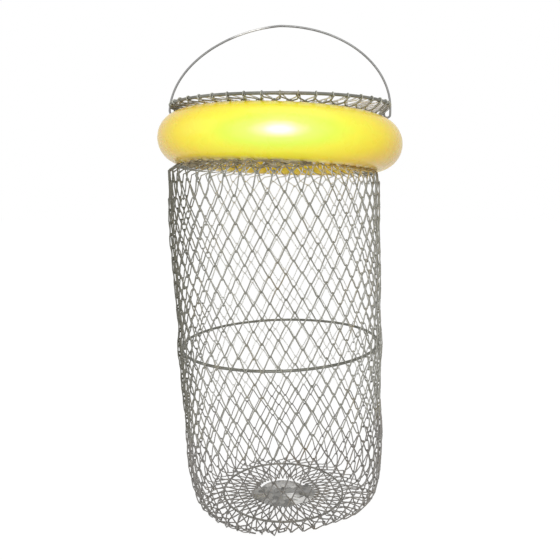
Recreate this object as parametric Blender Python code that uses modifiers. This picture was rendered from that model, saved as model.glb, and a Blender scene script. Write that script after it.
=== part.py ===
"""A floating wire fish basket: a bail, a sprung lid, a blown float and a wall that folds flat.

Metres, +Z up, origin on the ground under the middle of the float. Run it with
blender --background --python part.py, or from Blender's text editor.
"""

import math

import bmesh
import bpy
from mathutils import Matrix, Vector

# Clearances
SEAT_GAP = 0.0003  # between pieces that touch on the real basket
NECK_GAP = 0.0012  # between the float and the mesh that passes through it
NECK_FOOT_GAP = 0.0009  # under the neck's outer edge, as its inner edge slants down to the wall

# Mesh wall
MESH_WIRE = 0.0016
WALL_RADIUS = 0.1475
WALL_CELLS = 42  # cells round the real mesh, and facets of the solid, which has half the cells
CORNER_HEIGHT = 0.105  # where the wall starts to round in
CORNER_STEPS = 4
CORNER_ROWS = 3  # of those steps that are open mesh, above the closed foot
HIGH_ROWS = 6  # rows of wires from the top of the folding wall down to the middle hoop
LOW_ROWS = 4  # and from there down to the corner
FOOT_SHEET = 0.0022  # how thick the closed foot is
FOOT_LIP = 0.08  # how far up the last row of wires the foot reaches, as a share of it
NECK_BAR = 0.0024  # the mesh left round each opening of the neck
FOOT_INSET = 0.0275  # from the wall in to the flat that stands on the ground
FOOT_WIDTH = 0.010
TOP_LEAN = -0.008  # the wall hangs out to one side under the float
LEAN_CLIMB = 0.2537995  # the height above the middle hoop over which it gets there
BOTTOM_LEAN = 0.005

# Top ring, the hoop that everything hangs from
RING_WIRE = 0.004
RING_OUTSET = 0.0025  # its radius over the wall's
RING_RADIUS = WALL_RADIUS + RING_OUTSET

# Float, a blown ring that sits a little higher at the front and lower on the right
FLOAT_INSET = 0.015  # from the top ring in to the middle of the float's tube
FLOAT_RADIUS = RING_RADIUS - FLOAT_INSET
FLOAT_TUBE = 0.035
FLOAT_WALL = 0.0018
FLOAT_HEIGHT = 0.5317
FLOAT_TILT = math.radians(3.4)  # the front is up
FLOAT_SIDE_TILT = math.radians(1.9)  # and the right side down
FLOAT_LEAN = math.acos(math.cos(FLOAT_TILT) * math.cos(FLOAT_SIDE_TILT))
PLUG_RADIUS = 0.004
PLUG_HEAD_RADIUS = 0.006
PLUG_HEAD_THICKNESS = 0.0012
PLUG_LENGTH = 0.006
PLUG_ANGLE = math.radians(-40)  # below the float's widest line, at the back
PLUG_CROWN = 0.8  # share of the head's radius that is flat on top
BLOW_HOLE_MARGIN = 0.0018  # how far the plug's hole is drilled past each face of the wall

# Neck, the mesh from the top ring through the float
NECK_RADIUS = FLOAT_TUBE + NECK_GAP  # of its curve round the float's tube
NECK_CROWN = FLOAT_HEIGHT + NECK_RADIUS
FLOAT_FOOT = FLOAT_HEIGHT - NECK_RADIUS
RING_ABOVE_NECK = 0.004932  # clear of the neck where the tilted float lifts it
RING_HEIGHT = NECK_CROWN + FLOAT_RADIUS * math.sin(FLOAT_LEAN) + RING_ABOVE_NECK
SHOULDER_RADIUS = 0.006
SPLIT_DROP = 0.0195  # below the shoulder, where the neck ends and the folding wall starts
SPLIT_HEIGHT = FLOAT_FOOT - SHOULDER_RADIUS - SPLIT_DROP

# Rings inside the wall
MID_WIRE = 0.004
MID_SHARE = 0.51915  # of the folding wall's height
MID_HEIGHT = SPLIT_HEIGHT * MID_SHARE
MID_RADIUS = WALL_RADIUS - MESH_WIRE - SEAT_GAP - MID_WIRE / 2
MID_TILT = math.radians(1.9)  # its right side is up
FOOT_OUTER_RADIUS = WALL_RADIUS - FOOT_INSET
FOOT_INNER_RADIUS = FOOT_OUTER_RADIUS - FOOT_WIDTH
BOTTOM_RING_INSET = 0.019
BOTTOM_RING_RADIUS = FOOT_INNER_RADIUS - BOTTOM_RING_INSET
BOTTOM_WIRE = 0.003
BOTTOM_HEIGHT = 0.0076

# Sheet discs that hold the gathered bottom mesh
NET_WIDTH = 0.039  # from the bottom ring in to the sheet disc
PLATE_RADIUS = BOTTOM_RING_RADIUS - NET_WIDTH
PLATE_SHEET = 0.0008
PLATE_DISH = 0.0035
PLATE_FLAT = 0.33  # share of the radius that is flat round the rivet
PLATE_BEND = 0.8  # share of the radius where the slope eases off
PLATE_BEND_RISE = 0.33  # share of the dish still to climb there
WASHER_INSET = 0.016  # from the disc's edge in to the washer's
WASHER_RADIUS = PLATE_RADIUS - WASHER_INSET
NET_UNDER_PLATE = 0.006
RIVET_RADIUS = 0.002
RIVET_HEAD_RADIUS = 0.0045
RIVET_HEAD_THICKNESS = 0.0015
RIVET_CROWN = 0.6  # share of the head's radius that is flat

# Mouth and lid
MOUTH_WIRE = 0.0035
MOUTH_MARGIN = 0.0092  # between the mouth ring's middle and the neck at its narrowest
MOUTH_RADIUS = FLOAT_RADIUS - NECK_RADIUS - MESH_WIRE - MOUTH_MARGIN
MOUTH_DROP = 0.007  # below the top ring, so that the net round it slopes in
MOUTH_HEIGHT = RING_HEIGHT - MOUTH_DROP
LID_SIDE_GAP = 0.008  # between the lid's hoop and the mouth ring, at the sides
LID_FRONT_LAP = 0.002  # how far the lid reaches under the mouth ring at the front
LID_RADIUS = MOUTH_RADIUS - LID_SIDE_GAP
LID_OFFSET = -LID_SIDE_GAP - LID_FRONT_LAP  # of the lid's middle, towards the front
LID_WIRE = 0.003
LID_HEIGHT = MOUTH_HEIGHT - MOUTH_WIRE / 2 - SEAT_GAP - LID_WIRE / 2
LID_NET_CELLS = 16
LID_EYE_RADIUS = 0.014
HINGE_INSET = 0.0095
HINGE_BACK = MOUTH_RADIUS - HINGE_INSET  # how far the hinge rod lies behind the middle
HINGE_ROD = 0.003
HINGE_OVERLAP = 0.0022  # how far the rod runs on past the mouth ring
LINK_WIRE = 0.0015
LINK_SPREAD = 0.022  # half the distance between the two hinge links
SPRING_WIRE = 0.0012
SPRING_CLEARANCE = 0.0004
SPRING_CURLS = 6
SPRING_PITCH = 0.0018
SPRING_LEG = 0.028
TAIL_LOW_SHARE = 0.35  # of the way to the mouth ring, where the tail starts to climb
TAIL_HIGH_SHARE = 0.75  # and where it lies against the ring's underside

# Bail
BAIL_WIRE = 0.003
BAIL_RISE = 0.1113
BAIL_FOOT_DROP = 0.004  # below the top ring, where the arch's ends stand upright
BAIL_SLUMP = 0.0062  # how far its left shoulder is bent in from the arch
HOOK_CLEARANCE = 0.00075  # beside the ring, inside the hook
HOOK_RADIUS = RING_WIRE / 2 + HOOK_CLEARANCE + BAIL_WIRE / 2
LEFT_HOOK_DROP = 0.006  # from the ring's middle down to the hook's bend, where the float is high
RIGHT_HOOK_DROP = 0.0105  # and where it is low
HOOK_NUB = 0.006  # how far the hook's end stands up past the ring's middle
HOOK_WINDOW_NECK = 0.016  # half widths of the gaps that the hooks swing in
HOOK_WINDOW_NET = 0.009
HOOK_WINDOW_MARGIN = 0.0015

# How finely each shape is faceted
RING_SEGMENTS = WALL_CELLS  # so that the hoops' flats face the wall's
RING_SIDES = 6
FLOAT_SEGMENTS = 48
FLOAT_SIDES = 12
ROD_SIDES = 10
SMALL_SIDES = 12  # round the plug, its hole and the rivet
DISC_SIDES = 24
NECK_STEPS = 9
SHOULDER_STEPS = 3
ARCH_STEPS = 32
BEND_STEPS = 6  # round the half turn of a hook or a link
CURL_STEPS = 8
SHARP_ANGLE = math.radians(40)


def lean(height):
    """How far the hanging wall lies to the right at a height."""
    if height < MID_HEIGHT:
        return BOTTOM_LEAN * (1 - height / MID_HEIGHT)
    return TOP_LEAN * ((min(height, FLOAT_FOOT) - MID_HEIGHT) / LEAN_CLIMB)


def clear_scene():
    """Remove every object of the open file."""
    for obj in list(bpy.data.objects):
        bpy.data.objects.remove(obj, do_unlink=True)


def make_collection(name):
    """A new collection of the scene."""
    collection = bpy.data.collections.new(name)
    bpy.context.scene.collection.children.link(collection)
    return collection


def make_material(name, colour, roughness, metallic):
    """A Principled material."""
    material = bpy.data.materials.new(name)
    material.use_nodes = True
    shader = material.node_tree.nodes["Principled BSDF"]
    shader.inputs["Base Color"].default_value = (*colour, 1)
    shader.inputs["Roughness"].default_value = roughness
    shader.inputs["Metallic"].default_value = metallic
    material.diffuse_color = (*colour, 1)
    return material


def move_to(obj, collection):
    """Keep an object in one collection only."""
    for old in list(obj.users_collection):
        old.objects.unlink(obj)
    collection.objects.link(obj)


def finish(obj, name, material, smooth=True):
    """Name an object, dress it and put it with the parts."""
    obj.name = name
    obj.data.name = name
    obj.data.materials.clear()
    obj.data.materials.append(material)
    move_to(obj, PARTS)
    if smooth and obj.type == "MESH":
        obj.data.shade_smooth()
        obj.data.set_sharp_from_angle(angle=SHARP_ANGLE)
    return obj


def object_of(bm, name, material, smooth=True):
    """The object of a finished bmesh."""
    mesh = bpy.data.meshes.new(name)
    bm.to_mesh(mesh)
    bm.free()
    return finish(bpy.data.objects.new(name, mesh), name, material, smooth=smooth)


def wire_ring(name, radius, wire, centre, material, rotation=(0, 0, 0)):
    """A hoop of round wire."""
    bpy.ops.mesh.primitive_torus_add(
        major_radius=radius,
        minor_radius=wire / 2,
        major_segments=RING_SEGMENTS,
        minor_segments=RING_SIDES,
        location=centre,
        rotation=rotation,
    )
    return finish(bpy.context.object, name, material)


def wire_path(name, points, wire, material, closed=False, resolution=2):
    """A bent wire along a list of points."""
    curve = bpy.data.curves.new(name, "CURVE")
    curve.dimensions = "3D"
    curve.bevel_depth = wire / 2
    curve.bevel_resolution = resolution
    curve.use_fill_caps = True
    spline = curve.splines.new("POLY")
    spline.points.add(len(points) - 1)
    for point, place in zip(spline.points, points):
        point.co = (*place, 1)
    spline.use_cyclic_u = closed
    return finish(bpy.data.objects.new(name, curve), name, material)


def straight_wire(name, middle, length, wire, material):
    """A straight wire along X."""
    bpy.ops.mesh.primitive_cylinder_add(
        vertices=ROD_SIDES,
        radius=wire / 2,
        depth=length,
        location=middle,
        rotation=(0, math.pi / 2, 0),
    )
    return finish(bpy.context.object, name, material)


def arc(centre, radius, start, end, steps):
    """Points on an arc in a plane of two coordinates, both ends included."""
    angles = [start + (end - start) * step / steps for step in range(steps + 1)]
    return [
        (centre[0] + radius * math.cos(angle), centre[1] + radius * math.sin(angle))
        for angle in angles
    ]


def spun(profile, segments):
    """The surface that an outline of radius and height makes round Z."""
    bm = bmesh.new()
    points = [bm.verts.new((radius, 0, height)) for radius, height in profile]
    edges = [bm.edges.new(pair) for pair in zip(points, points[1:])]
    bmesh.ops.spin(
        bm,
        geom=points + edges,
        cent=(0, 0, 0),
        axis=(0, 0, 1),
        angle=2 * math.pi,
        steps=segments,
        use_merge=True,
    )
    bmesh.ops.remove_doubles(bm, verts=bm.verts, dist=1e-6)
    return bm


def thicken(obj, thickness):
    """Give an open surface its wall, on its inner side."""
    wall = obj.modifiers.new("wall", "SOLIDIFY")
    wall.thickness = thickness
    wall.offset = -1
    wall.use_even_offset = True
    wall.use_quality_normals = True


def cut(obj, helper, name, operation="DIFFERENCE"):
    """Cut an object with another, or join them, and keep the other as a hidden helper."""
    move_to(helper, CUTTERS)
    helper.name = name
    helper.hide_render = True
    helper.display_type = "WIRE"
    boolean = obj.modifiers.new(name, "BOOLEAN")
    boolean.operation = operation
    boolean.solver = "EXACT"
    boolean.object = helper


def box_cutter(low, high):
    """A box between two corners."""
    low, high = Vector(low), Vector(high)
    bpy.ops.mesh.primitive_cube_add(size=1, location=(low + high) / 2)
    box = bpy.context.object
    box.data.transform(Matrix.Diagonal((*(high - low), 1)))
    return box


def wire_net(bm, name, material):
    """The object of a net whose cells are a bmesh's faces and whose wires are its edges."""
    net = object_of(bm, name, material, smooth=False)
    wire = net.modifiers.new("wire", "WIREFRAME")
    wire.thickness = MESH_WIRE
    wire.use_boundary = True
    wire.use_even_offset = True
    return net


def facet_turn(vert):
    """How many facets round from +X a corner of the wall or the neck lies."""
    return round(math.atan2(vert.co.y, vert.co.x) / (2 * math.pi / WALL_CELLS)) % WALL_CELLS


def draw_diamonds(bm, outline):
    """Redraw a spun outline as diamonds, with a knot on every second corner."""
    knots = set()
    for vert in bm.verts:
        row = min(range(len(outline)), key=lambda place: abs(outline[place][1] - vert.co.z))
        if (row + facet_turn(vert)) % 2 == 0:
            knots.add(vert)
    for face in list(bm.faces):
        bmesh.utils.face_split(face, *[vert for vert in face.verts if vert in knots])
    loose = [vert for vert in bm.verts if vert not in knots]
    rims = [
        edge
        for vert in loose
        if vert.is_boundary
        for edge in vert.link_edges
        if not edge.is_boundary
    ]
    inner = [vert for vert in loose if not vert.is_boundary]
    bmesh.ops.dissolve_edges(bm, edges=rims, use_verts=False)
    bmesh.ops.dissolve_verts(bm, verts=inner)


def open_band(bm, low, high):
    """Open the facets of a spun surface between two heights, two at a time."""
    between = []
    for edge in bm.edges:
        top, bottom = edge.verts
        upright = facet_turn(top) == facet_turn(bottom)
        if upright and facet_turn(top) % 2 and low < (top.co.z + bottom.co.z) / 2 < high:
            between.append(edge)
    bmesh.ops.dissolve_edges(bm, edges=between, use_verts=False)
    pairs = [face for face in bm.faces if low < face.calc_center_median().z < high]
    bmesh.ops.inset_individual(bm, faces=pairs, thickness=NECK_BAR, use_even_offset=True)
    bmesh.ops.delete(bm, geom=pairs, context="FACES")


def ring_net(name, cells, radii, centre, material, drop=0):
    """A net of diamonds between hoops of alternate knots, which drops evenly towards the middle."""
    bm = bmesh.new()
    bmesh.ops.create_circle(bm, segments=cells, radius=radii[0])
    hoop = list(bm.edges)
    inner_hoops = []
    for radius, next_radius in zip(radii, radii[1:]):
        made = bmesh.ops.extrude_edge_only(bm, edges=hoop)["geom"]
        knots = [item for item in made if isinstance(item, bmesh.types.BMVert)]
        hoop = [item for item in made if isinstance(item, bmesh.types.BMEdge)]
        draw_in = Matrix.Diagonal((next_radius / radius, next_radius / radius, 1, 1))
        half_turn = Matrix.Rotation(math.pi / cells, 4, "Z")
        lower = Matrix.Translation((0, 0, -drop / (len(radii) - 1)))
        bmesh.ops.transform(bm, matrix=lower @ half_turn @ draw_in, verts=knots)
        inner_hoops.append(hoop)
    bmesh.ops.triangulate(bm, faces=bm.faces, quad_method="SHORT_EDGE")
    between = [edge for hoop in inner_hoops[:-1] for edge in hoop]
    bmesh.ops.dissolve_edges(bm, edges=between, use_verts=False)
    bmesh.ops.recalc_face_normals(bm, faces=bm.faces)
    bmesh.ops.translate(bm, vec=centre, verts=bm.verts)
    return wire_net(bm, name, material)


def inside_hoop(radius, wire):
    """The radius of a net's edge that lies just inside a hoop, clear of the hoop's flats."""
    return (radius - wire / 2) * math.cos(math.pi / RING_SEGMENTS) - SEAT_GAP - MESH_WIRE / 2


def outside_hoop(radius, wire, cells):
    """The radius of a net's edge whose own flats clear the hoop inside it."""
    return (radius + wire / 2 + SEAT_GAP + MESH_WIRE / 2) / math.cos(math.pi / cells)


def joint_empty(name, location, rotation=(0, 0, 0)):
    """An empty on a joint's axis, which carries the pieces that move."""
    empty = bpy.data.objects.new(name, None)
    empty.location = location
    empty.rotation_euler = rotation
    empty.empty_display_size = 0.02
    PARTS.objects.link(empty)
    return empty


def carry(empty, *pieces):
    """Hang pieces on an empty without moving them."""
    bpy.context.view_layer.update()
    for piece in pieces:
        piece.parent = empty
        piece.matrix_parent_inverse = empty.matrix_world.inverted()


def float_turn(share=1):
    """The turn of the tilted float, or a share of it."""
    sideways = Matrix.Rotation(FLOAT_SIDE_TILT * share, 3, "Y")
    return sideways @ Matrix.Rotation(-FLOAT_TILT * share, 3, "X")


def settle_neck(point):
    """Tilt the neck with the float, and let its shoulder hang to one side."""
    rim = RING_HEIGHT - RING_WIRE
    if point.z > NECK_CROWN:
        share = max((rim - point.z) / (rim - NECK_CROWN), 0)
    else:
        bend_end = FLOAT_FOOT - SHOULDER_RADIUS
        foot = SPLIT_HEIGHT + NECK_FOOT_GAP
        share = min((point.z - foot) / (bend_end - foot), 1)
    radius = math.hypot(point.x, point.y)
    outside = (radius - FLOAT_RADIUS) / (WALL_RADIUS - FLOAT_RADIUS)
    if point.z < FLOAT_HEIGHT and outside > 0:
        point.x += lean(point.z) * min(outside, 1)
    middle = Vector((0, 0, FLOAT_HEIGHT))
    point.xyz = middle + float_turn(share) @ (point - middle)


def make_neck():
    """The mesh from the top ring through the float to the shoulder below it."""
    start = (RING_RADIUS, RING_HEIGHT - RING_WIRE / 2 - SEAT_GAP - MESH_WIRE)
    middle = (FLOAT_RADIUS, FLOAT_HEIGHT)
    round_float = arc(middle, NECK_RADIUS, math.pi / 2, 3 * math.pi / 2, NECK_STEPS)
    bend_middle = (WALL_RADIUS - SHOULDER_RADIUS, FLOAT_FOOT - SHOULDER_RADIUS)
    shoulder = arc(bend_middle, SHOULDER_RADIUS, math.pi / 2, 0, SHOULDER_STEPS)
    foot = (WALL_RADIUS, SPLIT_HEIGHT + NECK_FOOT_GAP)
    bm = spun([start, *round_float, *shoulder, foot], WALL_CELLS)
    open_band(bm, NECK_CROWN, RING_HEIGHT)
    open_band(bm, SPLIT_HEIGHT, FLOAT_FOOT - SHOULDER_RADIUS)
    for vert in bm.verts:
        settle_neck(vert.co)
    neck = object_of(bm, "neck_mesh", GALVANISED)
    thicken(neck, MESH_WIRE)
    inner = RING_RADIUS - HOOK_RADIUS - BAIL_WIRE / 2 - HOOK_WINDOW_MARGIN
    outer = RING_RADIUS + HOOK_RADIUS
    for side in (-1, 1):
        ends = sorted((side * inner, side * outer))
        window = box_cutter(
            (ends[0], -HOOK_WINDOW_NECK, FLOAT_HEIGHT + FLOAT_TUBE / 2),
            (ends[1], HOOK_WINDOW_NECK, RING_HEIGHT),
        )
        cut(neck, window, f"neck_window_{'left' if side < 0 else 'right'}")


def hang_aside(bm):
    """Shift each corner of the round wall to where it hangs."""
    for vert in bm.verts:
        vert.co.x += lean(vert.co.z)


def even_steps(start, end, count):
    """Evenly spaced heights, without the last."""
    return [start + (end - start) * step / count for step in range(count)]


def make_wall():
    """The folding wall: wires in diamonds down to the corner, then the closed foot."""
    corner = [
        (
            FOOT_OUTER_RADIUS + (WALL_RADIUS - FOOT_OUTER_RADIUS) * math.cos(angle),
            CORNER_HEIGHT * (1 - math.sin(angle)),
        )
        for angle in (math.pi / 2 * step / CORNER_STEPS for step in range(CORNER_STEPS + 1))
    ]
    hem = (BOTTOM_RING_RADIUS + BOTTOM_WIRE / 2 + SEAT_GAP, BOTTOM_HEIGHT - MESH_WIRE / 2)
    heights = even_steps(SPLIT_HEIGHT - MESH_WIRE / 2, MID_HEIGHT, HIGH_ROWS)
    heights += even_steps(MID_HEIGHT, CORNER_HEIGHT, LOW_ROWS)
    outline = [(WALL_RADIUS - MESH_WIRE / 2, height) for height in heights]
    outline += [(radius - MESH_WIRE / 2, height) for radius, height in corner[:CORNER_ROWS]]
    low, high = corner[CORNER_ROWS], corner[CORNER_ROWS - 1]
    outline.append((low[0] - FOOT_SHEET / 2, low[1]))
    bm = spun(outline, WALL_CELLS)
    draw_diamonds(bm, outline)
    hang_aside(bm)
    bmesh.ops.recalc_face_normals(bm, faces=bm.faces)
    wall = wire_net(bm, "body_mesh", GALVANISED)
    lip = tuple(a + (b - a) * FOOT_LIP for a, b in zip(low, high))
    bm = spun([lip, *corner[CORNER_ROWS:], (FOOT_INNER_RADIUS, 0), hem], WALL_CELLS)
    hang_aside(bm)
    foot = object_of(bm, "foot", GALVANISED)
    thicken(foot, FOOT_SHEET)
    cut(wall, foot, "foot", operation="UNION")


def make_float():
    """The hollow float with its blow hole, and the plug that closes the hole."""
    axis = joint_empty("float_axis", (0, 0, FLOAT_HEIGHT), float_turn().to_euler())
    bpy.ops.mesh.primitive_torus_add(
        major_radius=FLOAT_RADIUS,
        minor_radius=FLOAT_TUBE,
        major_segments=FLOAT_SEGMENTS,
        minor_segments=FLOAT_SIDES,
    )
    shell = finish(bpy.context.object, "float_shell", YELLOW)
    thicken(shell, FLOAT_WALL)
    outward = Vector((0, math.cos(PLUG_ANGLE), math.sin(PLUG_ANGLE)))
    surface = Vector((0, FLOAT_RADIUS, 0)) + outward * FLOAT_TUBE
    turn = outward.to_track_quat("Z", "Y").to_matrix().to_4x4()
    drilled = 2 * (FLOAT_WALL + BLOW_HOLE_MARGIN)
    bpy.ops.mesh.primitive_cylinder_add(
        vertices=SMALL_SIDES, radius=PLUG_RADIUS + SEAT_GAP, depth=drilled
    )
    drill = bpy.context.object
    drill.data.transform(Matrix.Translation(surface) @ turn)
    cut(shell, drill, "blow_hole")
    head = SEAT_GAP + PLUG_HEAD_THICKNESS
    outline = [
        (0, head),
        (PLUG_HEAD_RADIUS * PLUG_CROWN, head),
        (PLUG_HEAD_RADIUS, SEAT_GAP + PLUG_HEAD_THICKNESS / 2),
        (PLUG_HEAD_RADIUS, SEAT_GAP),
        (PLUG_RADIUS, SEAT_GAP),
        (PLUG_RADIUS, SEAT_GAP - PLUG_LENGTH),
        (0, SEAT_GAP - PLUG_LENGTH),
    ]
    bm = spun(outline, SMALL_SIDES)
    bmesh.ops.transform(bm, matrix=Matrix.Translation(surface) @ turn, verts=bm.verts)
    plug = object_of(bm, "float_plug", YELLOW)
    for piece in (shell, plug, drill):
        piece.parent = axis


def bail_hook(drop):
    """The outline of a hook, from its end inside the ring to its leg outside."""
    hook = [(RING_RADIUS - HOOK_RADIUS, RING_HEIGHT + HOOK_NUB)]
    bend = (RING_RADIUS, RING_HEIGHT - drop)
    return hook + arc(bend, HOOK_RADIUS, math.pi, 2 * math.pi, BEND_STEPS)


def make_bail():
    """The arch of wire, with an open hook at each end round the top ring."""
    left, right = bail_hook(LEFT_HOOK_DROP), bail_hook(RIGHT_HOOK_DROP)
    half_span = RING_RADIUS + HOOK_RADIUS
    foot_height = RING_HEIGHT - BAIL_FOOT_DROP
    arch = []
    for turn in (math.pi * step / ARCH_STEPS for step in range(ARCH_STEPS + 1)):
        outward = Vector((BAIL_RISE * math.cos(turn), half_span * math.sin(turn))).normalized()
        slump = BAIL_SLUMP * max(-math.sin(2 * turn), 0)
        x = half_span * math.cos(turn) - slump * outward.x
        arch.append((x, foot_height + BAIL_RISE * math.sin(turn) - slump * outward.y))
    outline = right + arch + [(-x, z) for x, z in reversed(left)]
    bail = wire_path("bail", [(x, 0, z) for x, z in outline], BAIL_WIRE, GALVANISED)
    carry(joint_empty("bail_axis", (0, 0, RING_HEIGHT)), bail)


def make_mouth():
    """The mouth ring, the net that ties it to the top ring, and the fixed hinge parts."""
    wire_ring("mouth_ring", MOUTH_RADIUS, MOUTH_WIRE, (0, 0, MOUTH_HEIGHT), RING_METAL)
    outer = inside_hoop(RING_RADIUS, RING_WIRE)
    inner = outside_hoop(MOUTH_RADIUS, MOUTH_WIRE, WALL_CELLS)
    radii = [outer, (outer + inner) / 2, inner]
    middle = (0, 0, RING_HEIGHT)
    net = ring_net("top_net", WALL_CELLS, radii, middle, GALVANISED, drop=MOUTH_DROP)
    leg = RING_RADIUS - HOOK_RADIUS - BAIL_WIRE / 2 - HOOK_WINDOW_MARGIN
    for side in (-1, 1):
        ends = sorted((side * leg, side * RING_RADIUS))
        window = box_cutter(
            (ends[0], -HOOK_WINDOW_NET, RING_HEIGHT - RING_WIRE),
            (ends[1], HOOK_WINDOW_NET, RING_HEIGHT + RING_WIRE),
        )
        cut(net, window, f"net_window_{'left' if side < 0 else 'right'}")
    half_rod = math.sqrt(MOUTH_RADIUS**2 - HINGE_BACK**2) + HINGE_OVERLAP
    straight_wire("hinge_rod", (0, HINGE_BACK, LID_HEIGHT), 2 * half_rod, HINGE_ROD, GALVANISED)
    make_spring_tail()


def spring_radius():
    """The radius of the lid spring's curls, to the middle of its wire."""
    return HINGE_ROD / 2 + SPRING_CLEARANCE + SPRING_WIRE / 2


def make_spring_tail():
    """The spring's fixed end, from under the hinge rod up to the mouth ring."""
    x = -(SPRING_CURLS / 2 + 1) * SPRING_PITCH
    low = LID_HEIGHT - spring_radius()
    high = MOUTH_HEIGHT - MOUTH_WIRE / 2 - SEAT_GAP - SPRING_WIRE / 2
    seat = math.sqrt(MOUTH_RADIUS**2 - x**2)
    points = [
        (x, HINGE_BACK, low),
        (x, HINGE_BACK + (seat - HINGE_BACK) * TAIL_LOW_SHARE, low),
        (x, HINGE_BACK + (seat - HINGE_BACK) * TAIL_HIGH_SHARE, high),
        (x, seat + MOUTH_WIRE / 2, high),
    ]
    wire_path("spring_tail", points, SPRING_WIRE, SPRING_STEEL, resolution=1)


def make_spring():
    """The coil round the hinge rod, with the leg that pushes the lid shut."""
    radius = spring_radius()
    count = SPRING_CURLS * CURL_STEPS
    points = []
    for step in range(count + 1):
        angle = -math.pi / 2 + 2 * math.pi * step / CURL_STEPS
        x = (step / CURL_STEPS - SPRING_CURLS / 2) * SPRING_PITCH
        y = HINGE_BACK + radius * math.cos(angle)
        points.append((x, y, LID_HEIGHT + radius * math.sin(angle)))
    points.append((points[-1][0], HINGE_BACK - SPRING_LEG, LID_HEIGHT - radius))
    gaps = [
        math.dist(a, b) - SPRING_WIRE
        for a, b in zip(points, points[CURL_STEPS:count])
    ]
    print(f"lid_spring: least gap between curls {1000 * min(gaps):.2f} mm")
    return wire_path("lid_spring", points, SPRING_WIRE, SPRING_STEEL, resolution=1)


def hoop_back(x):
    """How far back the lid's hoop lies at a distance beside the middle."""
    return LID_OFFSET + math.sqrt(LID_RADIUS**2 - x**2)


def open_net_for_link(net, name, x):
    """Leave the cell of the lid's net open where a hinge link passes through."""
    room = LINK_WIRE / 2 + 2 * SEAT_GAP
    reach = LID_WIRE / 2 + SEAT_GAP + LINK_WIRE + 2 * SEAT_GAP
    back = hoop_back(x)
    low = (x - room, back - reach, LID_HEIGHT - LID_WIRE)
    high = (x + room, back + LID_WIRE, LID_HEIGHT + LID_WIRE)
    cut(net, box_cutter(low, high), name)


def make_link(name, x):
    """A closed link round the hinge rod and the back of the lid's hoop."""
    front = hoop_back(x)
    front_radius = LID_WIRE / 2 + SEAT_GAP + LINK_WIRE / 2
    back_radius = HINGE_ROD / 2 + SEAT_GAP + LINK_WIRE / 2
    outline = arc((HINGE_BACK, LID_HEIGHT), back_radius, -math.pi / 2, math.pi / 2, BEND_STEPS)
    outline += arc(
        (front, LID_HEIGHT), front_radius, math.pi / 2, 3 * math.pi / 2, BEND_STEPS
    )
    points = [(x, y, z) for y, z in outline]
    return wire_path(name, points, LINK_WIRE, GALVANISED, closed=True, resolution=1)


def make_lid():
    """The sprung lid: its hoop, its net, two links and the spring."""
    middle = (0, LID_OFFSET, LID_HEIGHT)
    hoop = wire_ring("lid_ring", LID_RADIUS, LID_WIRE, middle, RING_METAL)
    rim = inside_hoop(LID_RADIUS, LID_WIRE)
    radii = [rim, (rim + LID_EYE_RADIUS) / 2, LID_EYE_RADIUS]
    net = ring_net("lid_net", LID_NET_CELLS, radii, middle, GALVANISED)
    links = []
    for side, x in (("left", -LINK_SPREAD), ("right", LINK_SPREAD)):
        links.append(make_link(f"hinge_link_{side}", x))
        open_net_for_link(net, f"link_window_{side}", x)
    spring = make_spring()
    carry(joint_empty("lid_axis", (0, HINGE_BACK, LID_HEIGHT)), hoop, net, spring, *links)


def make_bottom():
    """The bottom ring, the gathered net inside it and the riveted sheet discs."""
    x = lean(BOTTOM_HEIGHT)
    middle = (x, 0, BOTTOM_HEIGHT)
    ring = wire_ring("bottom_ring", BOTTOM_RING_RADIUS, BOTTOM_WIRE, middle, RING_METAL)
    outer = inside_hoop(BOTTOM_RING_RADIUS, BOTTOM_WIRE)
    inner = PLATE_RADIUS - NET_UNDER_PLATE
    net = ring_net("bottom_net", WALL_CELLS, [outer, inner], middle, GALVANISED)
    hole = RIVET_RADIUS + SEAT_GAP
    under = BOTTOM_HEIGHT + MESH_WIRE / 2 + SEAT_GAP
    shape = [
        (hole, under + PLATE_SHEET + PLATE_DISH),
        (PLATE_RADIUS * PLATE_FLAT, under + PLATE_SHEET + PLATE_DISH),
        (PLATE_RADIUS * PLATE_BEND, under + PLATE_SHEET + PLATE_DISH * PLATE_BEND_RISE),
        (PLATE_RADIUS, under + PLATE_SHEET),
    ]
    plate = sheet_disc("bottom_plate", shape, x)
    top = BOTTOM_HEIGHT - MESH_WIRE / 2 - SEAT_GAP
    washer = sheet_disc("bottom_washer", [(hole, top), (WASHER_RADIUS, top)], x)
    high = under + PLATE_SHEET + PLATE_DISH + SEAT_GAP
    low = top - PLATE_SHEET - SEAT_GAP
    outline = [
        (0, high + RIVET_HEAD_THICKNESS),
        (RIVET_HEAD_RADIUS * RIVET_CROWN, high + RIVET_HEAD_THICKNESS),
        (RIVET_HEAD_RADIUS, high),
        (RIVET_RADIUS, high),
        (RIVET_RADIUS, low),
        (RIVET_HEAD_RADIUS, low),
        (RIVET_HEAD_RADIUS * RIVET_CROWN, low - RIVET_HEAD_THICKNESS),
        (0, low - RIVET_HEAD_THICKNESS),
    ]
    bm = spun(outline, SMALL_SIDES)
    bmesh.ops.translate(bm, vec=(x, 0, 0), verts=bm.verts)
    rivet = object_of(bm, "bottom_rivet", SHEET_ZINC)
    carry(joint_empty("fold_axis", middle), ring, net, plate, washer, rivet)


def sheet_disc(name, shape, x):
    """A disc of thin sheet with a rivet hole, listed from the hole outwards."""
    bm = spun(shape, DISC_SIDES)
    bmesh.ops.translate(bm, vec=(x, 0, 0), verts=bm.verts)
    disc = object_of(bm, name, SHEET_ZINC)
    thicken(disc, PLATE_SHEET)
    return disc


def make_middle():
    """The hoop halfway down, which keeps the wall round."""
    middle = (lean(MID_HEIGHT), 0, MID_HEIGHT)
    turn = (0, -MID_TILT, 0)
    ring = wire_ring("mid_ring", MID_RADIUS, MID_WIRE, middle, RING_METAL, turn)
    carry(joint_empty("mid_axis", middle), ring)


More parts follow.
